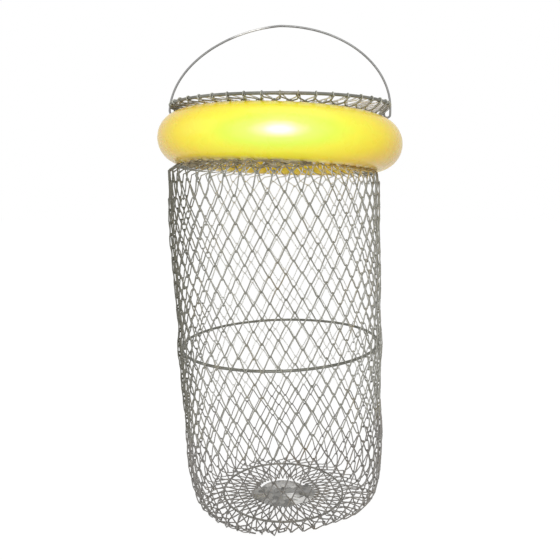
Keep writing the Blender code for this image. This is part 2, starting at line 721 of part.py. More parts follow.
clear_scene()
PARTS = make_collection("floating fish basket")
CUTTERS = make_collection("cutters")
GALVANISED = make_material("galvanised mesh wire", (0.34, 0.33, 0.29), 0.45, 0.8)
RING_METAL = make_material("galvanised ring wire", (0.30, 0.30, 0.27), 0.4, 0.8)
SPRING_STEEL = make_material("spring steel", (0.45, 0.45, 0.44), 0.3, 1.0)
SHEET_ZINC = make_material("zinc sheet", (0.50, 0.50, 0.50), 0.35, 0.9)
YELLOW = make_material("yellow float plastic", (0.95, 0.68, 0.10), 0.25, 0.0)

wire_ring("top_ring", RING_RADIUS, RING_WIRE, (0, 0, RING_HEIGHT), RING_METAL)
make_neck()
make_wall()
make_float()
make_bail()
make_mouth()
make_lid()
make_middle()
make_bottom()
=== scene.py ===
"""The looks of a floating wire fish basket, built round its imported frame.

Metres, +Z up, the front towards -Y. Angles run round the basket's upright axis, from +X.
"""

import logging
import math
from dataclasses import dataclass, field, replace
from enum import Enum
from typing import Callable, Iterable, Sequence

import bmesh
import bpy
from mathutils import Matrix, Vector, noise


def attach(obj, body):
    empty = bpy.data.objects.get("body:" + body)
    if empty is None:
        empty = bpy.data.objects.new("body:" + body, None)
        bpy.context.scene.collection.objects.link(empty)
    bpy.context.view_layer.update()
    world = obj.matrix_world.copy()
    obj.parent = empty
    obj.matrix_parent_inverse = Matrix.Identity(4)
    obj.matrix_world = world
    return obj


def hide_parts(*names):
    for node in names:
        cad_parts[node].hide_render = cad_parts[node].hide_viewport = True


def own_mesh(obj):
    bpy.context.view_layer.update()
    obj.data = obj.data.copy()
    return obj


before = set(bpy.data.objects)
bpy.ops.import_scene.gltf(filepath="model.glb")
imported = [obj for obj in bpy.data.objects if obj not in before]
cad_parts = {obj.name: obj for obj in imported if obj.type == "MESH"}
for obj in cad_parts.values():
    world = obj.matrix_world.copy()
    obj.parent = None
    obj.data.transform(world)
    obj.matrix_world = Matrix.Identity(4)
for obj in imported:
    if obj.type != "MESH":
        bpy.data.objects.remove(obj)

LOG = logging.getLogger("basket")
FULL_TURN = 2 * math.pi
FRONT = -math.pi / 2
MERGE = 1e-6
# Blender starts its vector noise from the clock. From this number the wires are the same each run.
NOISE_START = 1795666713

Point = tuple[float, float]
Colour = tuple[float, float, float]
Surface = Callable[[float, float], Vector]
Share = Callable[[float], float]
Material = bpy.types.Material
Socket = bpy.types.NodeSocket


def unit(value: float) -> float:
    """Keep a share between 0 and 1."""
    return min(max(value, 0), 1)


def hump(value: float, width: float) -> float:
    """Find the height of a smooth hump, which is 1 where the value is 0."""
    return math.exp(-((value / width) ** 2))


def angle_from(start: float, angle: float) -> float:
    """Find how far round an angle is from another, up to half a turn either way."""
    return (angle - start + math.pi) % FULL_TURN - math.pi


class Body(Enum):
    """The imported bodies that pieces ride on."""

    FRAME = "frame"
    FLOAT = "float"
    BAIL = "bail"
    LID = "lid"
    MIDDLE = "middle"
    BOTTOM = "bottom"


class Slot(Enum):
    """The record's material slots."""

    RING = "ring_wire"
    MESH = "mesh_wire"
    BAIL = "bail_wire"
    SPRING = "spring_wire"
    SHEET = "zinc_sheet"
    FLOAT = "float_plastic"


@dataclass
class Tree:
    """A new material's node tree."""

    name: str
    material: Material = field(init=False)
    shader: bpy.types.Node = field(init=False)
    place: Socket = field(init=False)
    facing: Socket = field(init=False)

    def __post_init__(self) -> None:
        """Make the material, its shader, and its place and facing coordinates."""
        self.material = bpy.data.materials.new(self.name)
        self.material.use_nodes = True
        self.shader = self.material.node_tree.nodes["Principled BSDF"]
        coordinates = self.add("ShaderNodeTexCoord")
        self.place = coordinates.outputs["Object"]
        self.facing = coordinates.outputs["Normal"]

    def add(self, kind: str, **values: object) -> bpy.types.Node:
        """Add a node.

        Args:
            kind: The node's type.
            values: Values for its settings, or for its inputs of those names with _ for a space.

        Returns:
            The node.
        """
        node = self.material.node_tree.nodes.new(kind)
        for name, value in values.items():
            socket = node.inputs.get(name.replace("_", " ").capitalize())
            if socket is None:
                setattr(node, name, value)
            else:
                socket.default_value = value
        return node

    def join(self, source: Socket, target: Socket) -> None:
        """Link an output to an input."""
        self.material.node_tree.links.new(source, target)

    def noise(self, scale: float, detail: float = 3.0) -> Socket:
        """A noise over the piece's own place.

        Args:
            scale: Blotches per metre.
            detail: How many finer layers it has.

        Returns:
            The noise's value.
        """
        node = self.add("ShaderNodeTexNoise", scale=scale, detail=detail)
        self.join(self.place, node.inputs["Vector"])
        return node.outputs[0]

    def ramp(self, source: Socket, stops: Sequence[tuple[float, Colour]]) -> Socket:
        """Turn a value into a colour.

        Args:
            source: The value.
            stops: Places from 0 to 1, each with its colour.

        Returns:
            The colour.
        """
        node = self.add("ShaderNodeValToRGB")
        elements = node.color_ramp.elements
        while len(elements) < len(stops):
            elements.new(0.5)
        for element, (place, colour) in zip(elements, stops):
            element.position = place
            element.color = (*colour, 1.0)
        self.join(source, node.inputs[0])
        return node.outputs[0]

    def span(self, source: Socket, before: Point, after: Point) -> Socket:
        """Map a value from one range to another.

        Args:
            source: The value.
            before: The range that it comes in.
            after: The range that it leaves in.

        Returns:
            The mapped value, which stays in its range.
        """
        node = self.add("ShaderNodeMapRange")
        for socket, number in zip(list(node.inputs)[1:5], (*before, *after)):
            socket.default_value = number
        self.join(source, node.inputs[0])
        return node.outputs[0]

    def blend(self, share: Socket, first: Socket | Colour, second: Socket | Colour) -> Socket:
        """Mix two colours.

        Args:
            share: How much of the second there is.
            first: A colour or a socket.
            second: A colour or a socket.

        Returns:
            The mixed colour.
        """
        node = self.add("ShaderNodeMix", data_type="RGBA")
        colours = [socket for socket in node.inputs if socket.type == "RGBA"]
        self.join(share, node.inputs[0])
        for socket, colour in zip(colours, (first, second)):
            if isinstance(colour, tuple):
                socket.default_value = (*colour, 1.0)
            else:
                self.join(colour, socket)
        return next(socket for socket in node.outputs if socket.type == "RGBA")

    def vector(self, operation: str, first: Socket, second: Vector | Socket) -> bpy.types.Node:
        """Work on two vectors.

        Args:
            operation: The vector operation.
            first: A vector.
            second: A vector or a socket.

        Returns:
            The node, with the result on its outputs.
        """
        node = self.add("ShaderNodeVectorMath", operation=operation)
        self.join(first, node.inputs[0])
        if isinstance(second, Vector):
            node.inputs[1].default_value = second
        else:
            self.join(second, node.inputs[1])
        return node

    def distance(self, middle: Vector, reach: Vector) -> Socket:
        """Measure how far a place is from a point.

        Args:
            middle: The point.
            reach: How far along each axis counts as 1.

        Returns:
            The distance.
        """
        away = self.vector("SUBTRACT", self.place, middle)
        shares = self.vector("DIVIDE", away.outputs[0], reach)
        return self.vector("LENGTH", shares.outputs[0], Vector()).outputs["Value"]

    def bump(self, height: Socket, strength: float, depth: float) -> None:
        """Roughen the surface by a height.

        Args:
            height: The height's value.
            strength: How much of it shows.
            depth: How deep it goes, in metres.
        """
        node = self.add("ShaderNodeBump", strength=strength, distance=depth)
        self.join(height, node.inputs["Height"])
        self.join(node.outputs[0], self.shader.inputs["Normal"])

    def wear(self, **sources: Socket) -> None:
        """Link sockets to the shader's inputs of those names, with _ for a space."""
        for name, source in sources.items():
            self.join(source, self.shader.inputs[name.replace("_", " ").title()])

    def set(self, values: dict[str, float]) -> None:
        """Set constant inputs of the shader by their names."""
        for name, value in values.items():
            self.shader.inputs[name].default_value = value


@dataclass(frozen=True)
class WireFinish:
    """Zinc-coated wire: dull, blotched, and a little stained, with optional painted light and painted
    shade.
    """

    name: str
    dark: Colour
    pale: Colour
    stain: Colour
    metallic: float = 0.55
    roughness: Point = (0.34, 0.58)
    blotch: float = 70.0
    stain_from: float = 0.56
    # Pale colour painted as light on the wires' faces that look into the basket.
    inside: Colour | None = None
    # Dark olive painted as shade on the wall's left and right sides.
    painted_side_shade: Colour | None = None
    # A colour painted as light round one spot, as a highlight or a coloured reflection.
    painted_light: Colour | None = None
    painted_light_at: Vector = Vector()
    painted_light_reach: Vector = Vector((0.03, 0.03, 0.03))
    grain: float = 0.25
    pits: float = 1400.0

    def material(self) -> Material:
        """Build the material.

        Returns:
            The material.
        """
        tree = Tree(self.name)
        coat = tree.ramp(tree.noise(self.blotch), [(0.30, self.dark), (0.70, self.pale)])
        spots = tree.span(tree.noise(self.blotch / 3), (self.stain_from, 0.72), (0.0, 0.8))
        colour = tree.blend(spots, coat, self.stain)
        # Painted light: the faces turned into the basket are made pale.
        if self.inside:
            colour = tree.blend(self.painted_inner_light_share(tree), colour, self.inside)
        # Painted shade: the wires darken towards both sides, most on the left.
        if self.painted_side_shade:
            colour = tree.blend(self.painted_side_shade_share(tree), colour, self.painted_side_shade)
        # Painted light, fading out from one spot.
        if self.painted_light:
            away = tree.distance(self.painted_light_at, self.painted_light_reach)
            colour = tree.blend(tree.span(away, (1.0, 0.5), (0.0, 0.9)), colour, self.painted_light)
        rubbed = tree.span(tree.noise(self.blotch * 4), (0.3, 0.7), self.roughness)
        tree.wear(base_color=colour, roughness=rubbed)
        tree.bump(tree.noise(self.pits, 2.0), self.grain, 0.0002)
        tree.set({"Metallic": self.metallic})
        return tree.material

    @staticmethod
    def painted_side_shade_share(tree: Tree) -> Socket:
        """Find how far out to a side a place is, where the wires get painted shade, most on the left.

        Args:
            tree: The material's tree.

        Returns:
            The share, from 0 to 1.
        """
        apart = tree.add("ShaderNodeSeparateXYZ")
        tree.join(tree.place, apart.inputs[0])
        total = tree.add("ShaderNodeMath", operation="ADD")
        sides = (((-0.095, -0.140), 0.85), ((0.105, 0.142), 0.45))
        for socket, (reach, most) in zip(total.inputs, sides):
            tree.join(tree.span(apart.outputs["X"], reach, (0.0, most)), socket)
        return total.outputs[0]

    @staticmethod
    def painted_inner_light_share(tree: Tree) -> Socket:
        """Find how far the surface faces the basket's inside, where the wires get a painted pale light.

        Args:
            tree: The material's tree.

        Returns:
            The share, from 0 to 1.
        """
        level = tree.vector("MULTIPLY", tree.place, Vector((1, 1, 0))).outputs[0]
        outward = tree.vector("NORMALIZE", level, Vector()).outputs[0]
        facing = tree.vector("DOT_PRODUCT", outward, tree.facing).outputs["Value"]
        return tree.span(facing, (0.15, -0.35), (0.0, 1.0))


@dataclass(frozen=True)
class SheetFinish:
    """Thin zinc-coated sheet with its crystal spangle."""

    name: str
    dark: Colour = (0.19, 0.188, 0.18)
    pale: Colour = (0.42, 0.415, 0.40)
    # Near white, painted as glints on the sheet's facets.
    bright: Colour = (0.92, 0.92, 0.91)
    spangle: float = 130.0

    def material(self) -> Material:
        """Build the material.

        Returns:
            The material.
        """
        tree = Tree(self.name)
        cells = tree.add("ShaderNodeTexVoronoi", scale=self.spangle)
        tree.join(tree.place, cells.inputs["Vector"])
        grey = tree.add("ShaderNodeRGBToBW")
        tree.join(cells.outputs["Color"], grey.inputs[0])
        spangled = tree.ramp(grey.outputs[0], [(0.1, self.dark), (0.9, self.pale)])
        # Painted glints: the marked faces turn near white and less metallic.
        painted_glint = tree.add("ShaderNodeAttribute", attribute_name="painted_glint").outputs["Fac"]
        tree.wear(
            base_color=tree.blend(painted_glint, spangled, self.bright),
            roughness=tree.span(tree.noise(90.0), (0.3, 0.7), (0.26, 0.48)),
            metallic=tree.span(painted_glint, (0.0, 1.0), (0.75, 0.1)),
        )
        tree.bump(tree.noise(220.0), 0.3, 0.0005)
        return tree.material


@dataclass(frozen=True)
class FloatFinish:
    """Glossy blown plastic. Its colour is a painted highlight, near white and lime round a spot on the
    front's middle, turning through yellow to a darker gold as painted shade away from it.
    """

    name: str
    # The painted highlight's middle, and how far it reaches along each axis.
    middle: Vector = Vector((0.0, -0.165, 0.5395))
    reach: Vector = Vector((0.118, 0.14, 0.031))
    full: float = 2.6
    blotch: float = 0.10
    # Colours from the painted highlight's core out through yellow to the painted shade's darker gold.
    stops: tuple[tuple[float, Colour], ...] = (
        (0.03, (0.96, 0.97, 0.80)),
        (0.08, (0.89, 0.95, 0.36)),
        (0.13, (0.80, 0.95, 0.15)),
        (0.22, (0.79, 0.95, 0.07)),
        (0.31, (0.95, 0.90, 0.05)),
        (0.44, (0.97, 0.78, 0.04)),
        (0.58, (0.87, 0.60, 0.06)),
        (0.74, (0.74, 0.50, 0.10)),
        (0.88, (0.97, 0.66, 0.02)),
    )

    def material(self) -> Material:
        """Build the material.

        Returns:
            The material.
        """
        tree = Tree(self.name)
        # Distance from the painted highlight, with a little noise for blotches.
        highlight_distance_and_blotches = tree.add("ShaderNodeMath", operation="MULTIPLY_ADD")
        tree.join(tree.noise(9.0, 1.0), highlight_distance_and_blotches.inputs[0])
        highlight_distance_and_blotches.inputs[1].default_value = self.blotch
        tree.join(tree.distance(self.middle, self.reach), highlight_distance_and_blotches.inputs[2])
        share = tree.span(highlight_distance_and_blotches.outputs[0], (0.05, self.full), (0.0, 1.0))
        # The base colour paints the highlight and the shade; the coat is thickest in the painted
        # highlight.
        tree.wear(
            base_color=tree.ramp(share, self.stops),
            roughness=tree.span(tree.noise(40.0), (0.3, 0.7), (0.24, 0.31)),
            coat_weight=tree.span(share, (0.05, 0.45), (0.95, 0.05)),
        )
        tree.bump(tree.noise(60.0, 2.0), 0.05, 0.001)
        tree.set({"Subsurface Weight": 0.2, "Subsurface Scale": 0.02})
        tree.set({"Specular IOR Level": 0.3, "Coat Roughness": 0.16})
        return tree.material


MESH_FINISH = WireFinish(
    "mesh_zinc",
    (0.22, 0.217, 0.185),
    (0.37, 0.365, 0.325),
    (0.26, 0.22, 0.14),
    # Painted pale light on the wires' inward faces.
    inside=(0.84, 0.84, 0.81),
    # Painted shade on the wall's sides.
    painted_side_shade=(0.115, 0.11, 0.08),
)
NECK_FINISH = replace(
    MESH_FINISH,
    name="neck_zinc",
    # A painted golden reflection of the yellow float on the wires under its right front.
    painted_light=(0.58, 0.44, 0.15),
    painted_light_at=Vector((0.095, -0.110, 0.497)),
    painted_light_reach=Vector((0.090, 0.090, 0.018)),
)
LOWER_MESH_FINISH = WireFinish(
    "mesh_zinc_lower",
    (0.155, 0.147, 0.135),
    (0.29, 0.275, 0.255),
    (0.22, 0.18, 0.13),
    # Painted light on the wires' inward faces, paler than the rest.
    inside=(0.36, 0.35, 0.33),
)
# Painted light: the top net, seen from below in its own shade, is made near white.
NET_FINISH = WireFinish(
    "net_zinc", (0.66, 0.65, 0.63), (0.84, 0.82, 0.80), (0.62, 0.56, 0.50), metallic=0.2
)
LOW_RING_FINISH = WireFinish(
    "low_ring_zinc", (0.17, 0.165, 0.15), (0.30, 0.29, 0.26), (0.22, 0.19, 0.14)
)
GATHER_FINISH = WireFinish(
    "gathered_zinc", (0.14, 0.11, 0.055), (0.36, 0.30, 0.18), (0.46, 0.39, 0.26), metallic=0.3
)
SHEET_FINISH = SheetFinish("sheet_zinc")
WASHER_FINISH = SheetFinish("washer_zinc", (0.46, 0.455, 0.44), (0.70, 0.69, 0.67))
WRAP_FINISH = WireFinish(
    "wrap_zinc", (0.26, 0.26, 0.22), (0.48, 0.48, 0.42), (0.30, 0.27, 0.17), metallic=0.7
)
RING_FINISH = WireFinish(
    "ring_zinc", (0.135, 0.135, 0.115), (0.23, 0.23, 0.20), (0.17, 0.15, 0.115)
)
BAIL_FINISH = WireFinish(
    "bail_zinc",
    (0.17, 0.17, 0.17),
    (0.30, 0.30, 0.295),
    (0.38, 0.38, 0.36),
    blotch=18.0,
    # A painted highlight: a pale stretch on the arch's upper left.
    painted_light=(0.62, 0.61, 0.59),
    painted_light_at=Vector((-0.042, 0.0, 0.686)),
    grain=0.04,
)
FLOAT_FINISH = FloatFinish("float_plastic")
SPRING_FINISH = WireFinish(
    "spring_steel", (0.16, 0.16, 0.16), (0.30, 0.30, 0.29), (0.20, 0.17, 0.13), metallic=0.85
)


def piece(
    name: str,
    mesh: bpy.types.Mesh,
    material: Material,
    body: Body,
    replaces: Sequence[str] = (),
) -> bpy.types.Object:
    """Put a finished mesh in the scene and tie it to the frame.

    Args:
        name: The piece's name.
        mesh: Its mesh, in place.
        material: Its material.
        body: The body that it rides on.
        replaces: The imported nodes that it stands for.

    Returns:
        The piece.
    """
    mesh.name = name
    mesh.materials.clear()
    mesh.materials.append(material)
    mesh.shade_smooth()
    obj = bpy.data.objects.new(name, mesh)
    bpy.context.scene.collection.objects.link(obj)
    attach(obj, body.value)
    if replaces:
        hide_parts(*replaces)
    LOG.info("%s: %d faces, rides on %s", name, len(mesh.polygons), body.value)
    return obj


def mesh_of(bm: bmesh.types.BMesh) -> bpy.types.Mesh:
    """Close a bmesh's seams, turn its faces out and make it a mesh.

    Args:
        bm: The bmesh, which is freed.

    Returns:
        The mesh.
    """
    bmesh.ops.remove_doubles(bm, verts=bm.verts, dist=MERGE)
    bmesh.ops.recalc_face_normals(bm, faces=bm.faces)
    mesh = bpy.data.meshes.new("shape")
    bm.to_mesh(mesh)
    bm.free()
    return mesh


def wires(paths: Iterable[Sequence[Vector]], wire: float, sides: int, closed: bool) -> bpy.types.Mesh:
    """Draw round wire along paths.

    Args:
        paths: The points that each wire's middle follows.
        wire: The wire's diameter.
        sides: The even number of flats round it.
        closed: Whether each wire joins its own start.

    Returns:
        One mesh of all the wires.
    """
    curve = bpy.data.curves.new("wire", "CURVE")
    curve.dimensions = "3D"
    curve.bevel_depth = wire / 2
    curve.bevel_resolution = sides // 2 - 2
    curve.use_fill_caps = not closed
    for path in paths:
        spline = curve.splines.new("POLY")
        spline.points.add(len(path) - 1)
        for point, place in zip(spline.points, path):
            point.co = (*place, 1.0)
        spline.use_cyclic_u = closed
    obj = bpy.data.objects.new("wire", curve)
    bpy.context.scene.collection.objects.link(obj)
    graph = bpy.context.evaluated_depsgraph_get()
    drawn = bpy.data.meshes.new_from_object(obj.evaluated_get(graph))
    bpy.data.objects.remove(obj)
    bpy.data.curves.remove(curve)
    bm = bmesh.new()
    bm.from_mesh(drawn)
    bpy.data.meshes.remove(drawn)
    return mesh_of(bm)


def spin_round(bm: bmesh.types.BMesh, steps: int) -> None:
    """Spin all of a bmesh a full turn round the upright axis.

    Args:
        bm: The bmesh.
        steps: How many parts the turn has.
    """
    geom = list(bm.verts) + list(bm.edges)
    up = (0, 0, 1)
    bmesh.ops.spin(bm, geom=geom, cent=(0, 0, 0), axis=up, angle=FULL_TURN, steps=steps, use_merge=True)


def sweep_round(bm: bmesh.types.BMesh, radius: float, steps: int) -> None:
    """Stand a flat section up at a radius, and spin it into a ring.

    Args:
        bm: The bmesh with the section.
        radius: The distance of its middle from the axis.
        steps: How many parts the ring has.
    """
    stand = Matrix.Translation((radius, 0, 0)) @ Matrix.Rotation(math.pi / 2, 4, "X")
    bmesh.ops.transform(bm, matrix=stand, verts=bm.verts)
    spin_round(bm, steps)


def turn_profile(line: Sequence[Point]) -> bmesh.types.BMesh:
    """Turn a small round part on the upright axis.

    Args:
        line: Its outline of radius and height.

    Returns:
        The bmesh.
    """
    bm = bmesh.new()
    verts = [bm.verts.new((radius, 0, height)) for radius, height in line]
    for pair in zip(verts, verts[1:]):
        bm.edges.new(pair)
    spin_round(bm, 32)
    return bm


def hoop(radius: float, wire: float, centre: Vector, ripple: float, tilt: float) -> bpy.types.Mesh:
    """Make a hoop of round wire, with the butt weld where its ends meet.

    Args:
        radius: To the middle of the wire.
        wire: The wire's diameter.
        centre: The hoop's middle.
        ripple: How far it strays from a true circle.
        tilt: How far its right side is turned up.

    Returns:
        The mesh.
    """
    weld_reach, weld_swell = 0.02, 0.22
    turn = Matrix.Rotation(-tilt, 3, "Y")
    bm = bmesh.new()
    bmesh.ops.create_circle(bm, segments=12, radius=wire / 2)
    sweep_round(bm, radius, 180)
    for vert in bm.verts:
        angle = math.atan2(vert.co.y, vert.co.x)
        middle = Vector((math.cos(angle), math.sin(angle), 0)) * radius
        near = max(1 - abs(angle - FRONT) / weld_reach, 0)
        vert.co = middle + (vert.co - middle) * (1 + weld_swell * near)
        sway = noise.noise(middle * 9.0 + Vector((wire, radius, 3.1)) * 50)
        vert.co += (middle.normalized() + Vector((0, 0, 0.6))) * ripple * sway
        vert.co = centre + turn @ vert.co
    return mesh_of(bm)


@dataclass
class Outline:
    """A line of radius and height, measured along its length."""

    points: Sequence[Point]
    lengths: list[float] = field(init=False)

    def __post_init__(self) -> None:
        """Measure the line."""
        self.lengths = [0.0]
        for a, b in zip(self.points, self.points[1:]):
            self.lengths.append(self.lengths[-1] + math.dist(a, b))

    @property
    def length(self) -> float:
        """The whole length."""
        return self.lengths[-1]

    def at(self, place: float) -> Point:
        """Find a point on the line.

        Args:
            place: The length from its start. Past an end, the line runs straight on.

        Returns:
            The radius and the height there.
        """
        last = len(self.points) - 2
        index = next((i for i in range(last) if place < self.lengths[i + 1]), last)
        a, b = self.points[index], self.points[index + 1]
        share = (place - self.lengths[index]) / (self.lengths[index + 1] - self.lengths[index])
        return a[0] + (b[0] - a[0]) * share, a[1] + (b[1] - a[1]) * share


def arc(centre: Point, radii: Point, start: float, end: float, steps: int) -> list[Point]:
    """List points on an arc of an ellipse.

    Args:
        centre: Its middle.
        radii: Its half widths.
        start: The first angle.
        end: The last angle.
        steps: How many parts the arc has.

    Returns:
        The points, with both ends.
    """
    turns = [start + (end - start) * step / steps for step in range(steps + 1)]
    return [
        (centre[0] + radii[0] * math.cos(t), centre[1] + radii[1] * math.sin(t)) for t in turns
    ]


@dataclass(frozen=True)
class Knit:
    """Rows of bent wire, each hooked over the row above: the basket's collapsible mesh."""

    cells: int = 42
    leg: float = 0.02030
    wire: float = 0.0018
    weave: float = 0.00200
    squeeze: float = 0.045
    hook: float = 0.00095
    sides: int = 6
    along: tuple[float, ...] = (0.0, 0.035, 0.12, 0.5, 0.88, 0.965)
    across: tuple[float, ...] = (0.0, 0.08, 0.15, 0.5, 0.85, 0.92)
    depth: tuple[float, ...] = (0.0, 0.78, 1.0, 0.85, 1.0, 0.78)

    @property
    def pitch(self) -> float:
        """The angle from one cell to the next."""
        return FULL_TURN / self.cells

    def drawn(self, angle: float) -> float:
        """Find where an even angle comes to lie, as the cells are drawn together at the front."""
        return angle - self.squeeze * math.cos(angle)

    def levels(self, outline: Outline, start: float, end: float) -> list[float]:
        """Space the rows of knots, by how far a leg reaches at each radius.

        Args:
            outline: The line that the mesh follows.
            start: Where on it the first knots are.
            end: Where the last ones are.

        Returns:
            The places of the knots, stretched a little so that whole rows fit.
        """
        places = [start]
        while places[-1] < end:
            half = self.pitch * outline.at(places[-1] + self.leg / 2)[0] / 2
            places.append(places[-1] + math.sqrt(max(self.leg**2 - half**2, MERGE)))
        if places[-1] - end > end - places[-2]:
            places.pop()
        stretch = (end - start) / (places[-1] - start)
        return [start + (place - start) * stretch for place in places]

    def row(
        self, surface: Surface, top: float, bottom: float, level: int, straight: Share | None = None
    ) -> list[Vector]:
        """Bend one wire into a closed row of legs.

        Args:
            surface: The place of a point of the mesh by length and angle.
            top: The place of the knots above.
            bottom: The place of the knots below.
            level: The number of the knots above, whose parity sets their angles.
            straight: The share of a leg that hangs straight from its upper knot, by its angle.

        Returns:
            The points of the wire's middle.
        """
        high, low = top - self.hook, bottom + self.hook
        points = []
        for leg in range(2 * self.cells):
            down = leg % 2 == 0
            begin = (leg / 2 + (level % 2) / 2) * self.pitch
            narrow = straight(begin + self.pitch / 4) if straight else 0.0
            for along, across, depth in zip(self.along, self.across, self.depth):
                drop = along if down else 1 - along
                open_share = across if down else 1 - across
                if narrow:
                    open_share = max((open_share - narrow) / (1 - narrow), 0.045 * (drop > 0))
                    across = open_share if down else 1 - open_share
                place = high + (low - high) * drop
                angle = self.drawn(begin + across * self.pitch / 2)
                points.append(self.lift(surface, place, angle, -depth if down else depth))
        return points

    def lift(self, surface: Surface, place: float, angle: float, depth: float) -> Vector:
        """Find a point beside the mesh's middle surface.

        Args:
            surface: The place of a point of the mesh by length and angle.
            place: The length along the outline.
            angle: The angle round the axis.
            depth: The distance outwards, in shares of the weave.

        Returns:
            The point.
        """
        step = 0.0008
        here = surface(place, angle)
        down = surface(place + step, angle) - surface(place - step, angle)
        across = surface(place, angle + step * 8) - surface(place, angle - step * 8)
        return here + down.cross(across).normalized() * self.weave * depth

    def rows(
        self,
        surface: Surface,
        places: Sequence[float],
        first: int,
        straight: dict[int, Share] | None = None,
    ) -> list[list[Vector]]:
        """Bend the wires of several rows.

        Args:
            surface: The place of a point of the mesh by length and angle.
            places: The places of the knots, from the top down.
            first: The number of the first knots.
            straight: The straight share of the legs of some rows, by the row's number.

        Returns:
            One path for each row.
        """
        shares = straight or {}
        return [
            self.row(surface, top, bottom, first + i, shares.get(i))
            for i, (top, bottom) in enumerate(zip(places, places[1:]))
        ]


def unevenness(place: Vector, amount: float) -> Vector:
    """How far handled mesh strays from its true form.

    Args:
        place: A point of the true form.
        amount: The farthest that it strays.

    Returns:
        The stray.
    """
    wide = noise.noise_vector(place * 7.0 + Vector((3.0, 11.0, 5.0)))
    fine = noise.noise_vector(place * 38.0)
    return (wide * 0.9 + fine * 0.55) * amount


@dataclass(frozen=True)
class Sizes:
    """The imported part's own sizes, which every piece keeps to."""

    ring_radius: float = 0.150
    ring_wire: float = 0.004
    ring_height: float = 0.582
    float_radius: float = 0.135
    float_tube: float = 0.035
    float_height: float = 0.5317
    float_tilt: float = math.radians(3.4)
    float_side_tilt: float = math.radians(1.9)
    neck_gap: float = 0.0020
    wall_radius: float = 0.1455
    wall_top: float = 0.4672
    folded_share: float = 0.135
    thin_wire: float = 0.003
    split_height: float = 0.470
    corner_height: float = 0.105
    foot_outer: float = 0.120
    foot_inner: float = 0.110
    mid_height: float = 0.244
    mid_radius: float = 0.1436
    mid_tilt: float = math.radians(1.9)
    slant: float = 0.0120
    column_turn: Point = (0.0008, 0.0190)
    bulge_reach: float = 0.0046
    bulge_middle: float = math.radians(203)
    bulge_width: float = 0.36
    top_lean: float = -0.008
    bottom_lean: float = 0.005
    bottom_radius: float = 0.091
    bottom_height: float = 0.0076
    mouth_radius: float = 0.088
    mouth_wire: float = 0.0035
    mouth_height: float = 0.575
    lid_radius: float = 0.080
    lid_offset: float = -0.010
    lid_height: float = 0.57145
    hinge_back: float = 0.0785

    def lean(self, height: float) -> float:
        """How far the hanging wall lies to the right at a height.

        Args:
            height: The height over the ground.

        Returns:
            The distance, in metres.
        """
        foot = self.float_height - self.float_tube - self.neck_gap
        if height < self.mid_height:
            return self.bottom_lean * (1 - height / self.mid_height)
        return self.top_lean * min((height - self.mid_height) / (foot - self.mid_height), 1)

    def float_turn(self, share: float = 1.0) -> Matrix:
        """Find a share of the float's turn, which lifts its front and lowers its right side."""
        sideways = Matrix.Rotation(self.float_side_tilt * share, 3, "Y")
        return sideways @ Matrix.Rotation(-self.float_tilt * share, 3, "X")

    def plumb(self, height: float) -> float:
        """Find the angle that keeps the front's columns of knots upright in the leaning wall."""
        even, growing = self.column_turn
        return -(self.lean(height) + even + growing * height**2) / self.wall_radius

    def bulge(self, angle: float, height: float) -> float:
        """Find how far the loose mesh stands out in its upper left corner.

        Args:
            angle: The angle round the axis.
            height: The height.

        Returns:
            The distance outwards.
        """
        away = angle_from(self.bulge_middle, angle)
        rise = unit((height - 0.27) / 0.09)
        fall = unit((0.495 - height) / 0.05)
        return self.bulge_reach * hump(away, self.bulge_width) * rise * fall


SIZES = Sizes()
KNIT = Knit()


def fold_up(obj: bpy.types.Object) -> None:
    """Give a piece its own copy of its mesh."""
    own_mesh(obj)


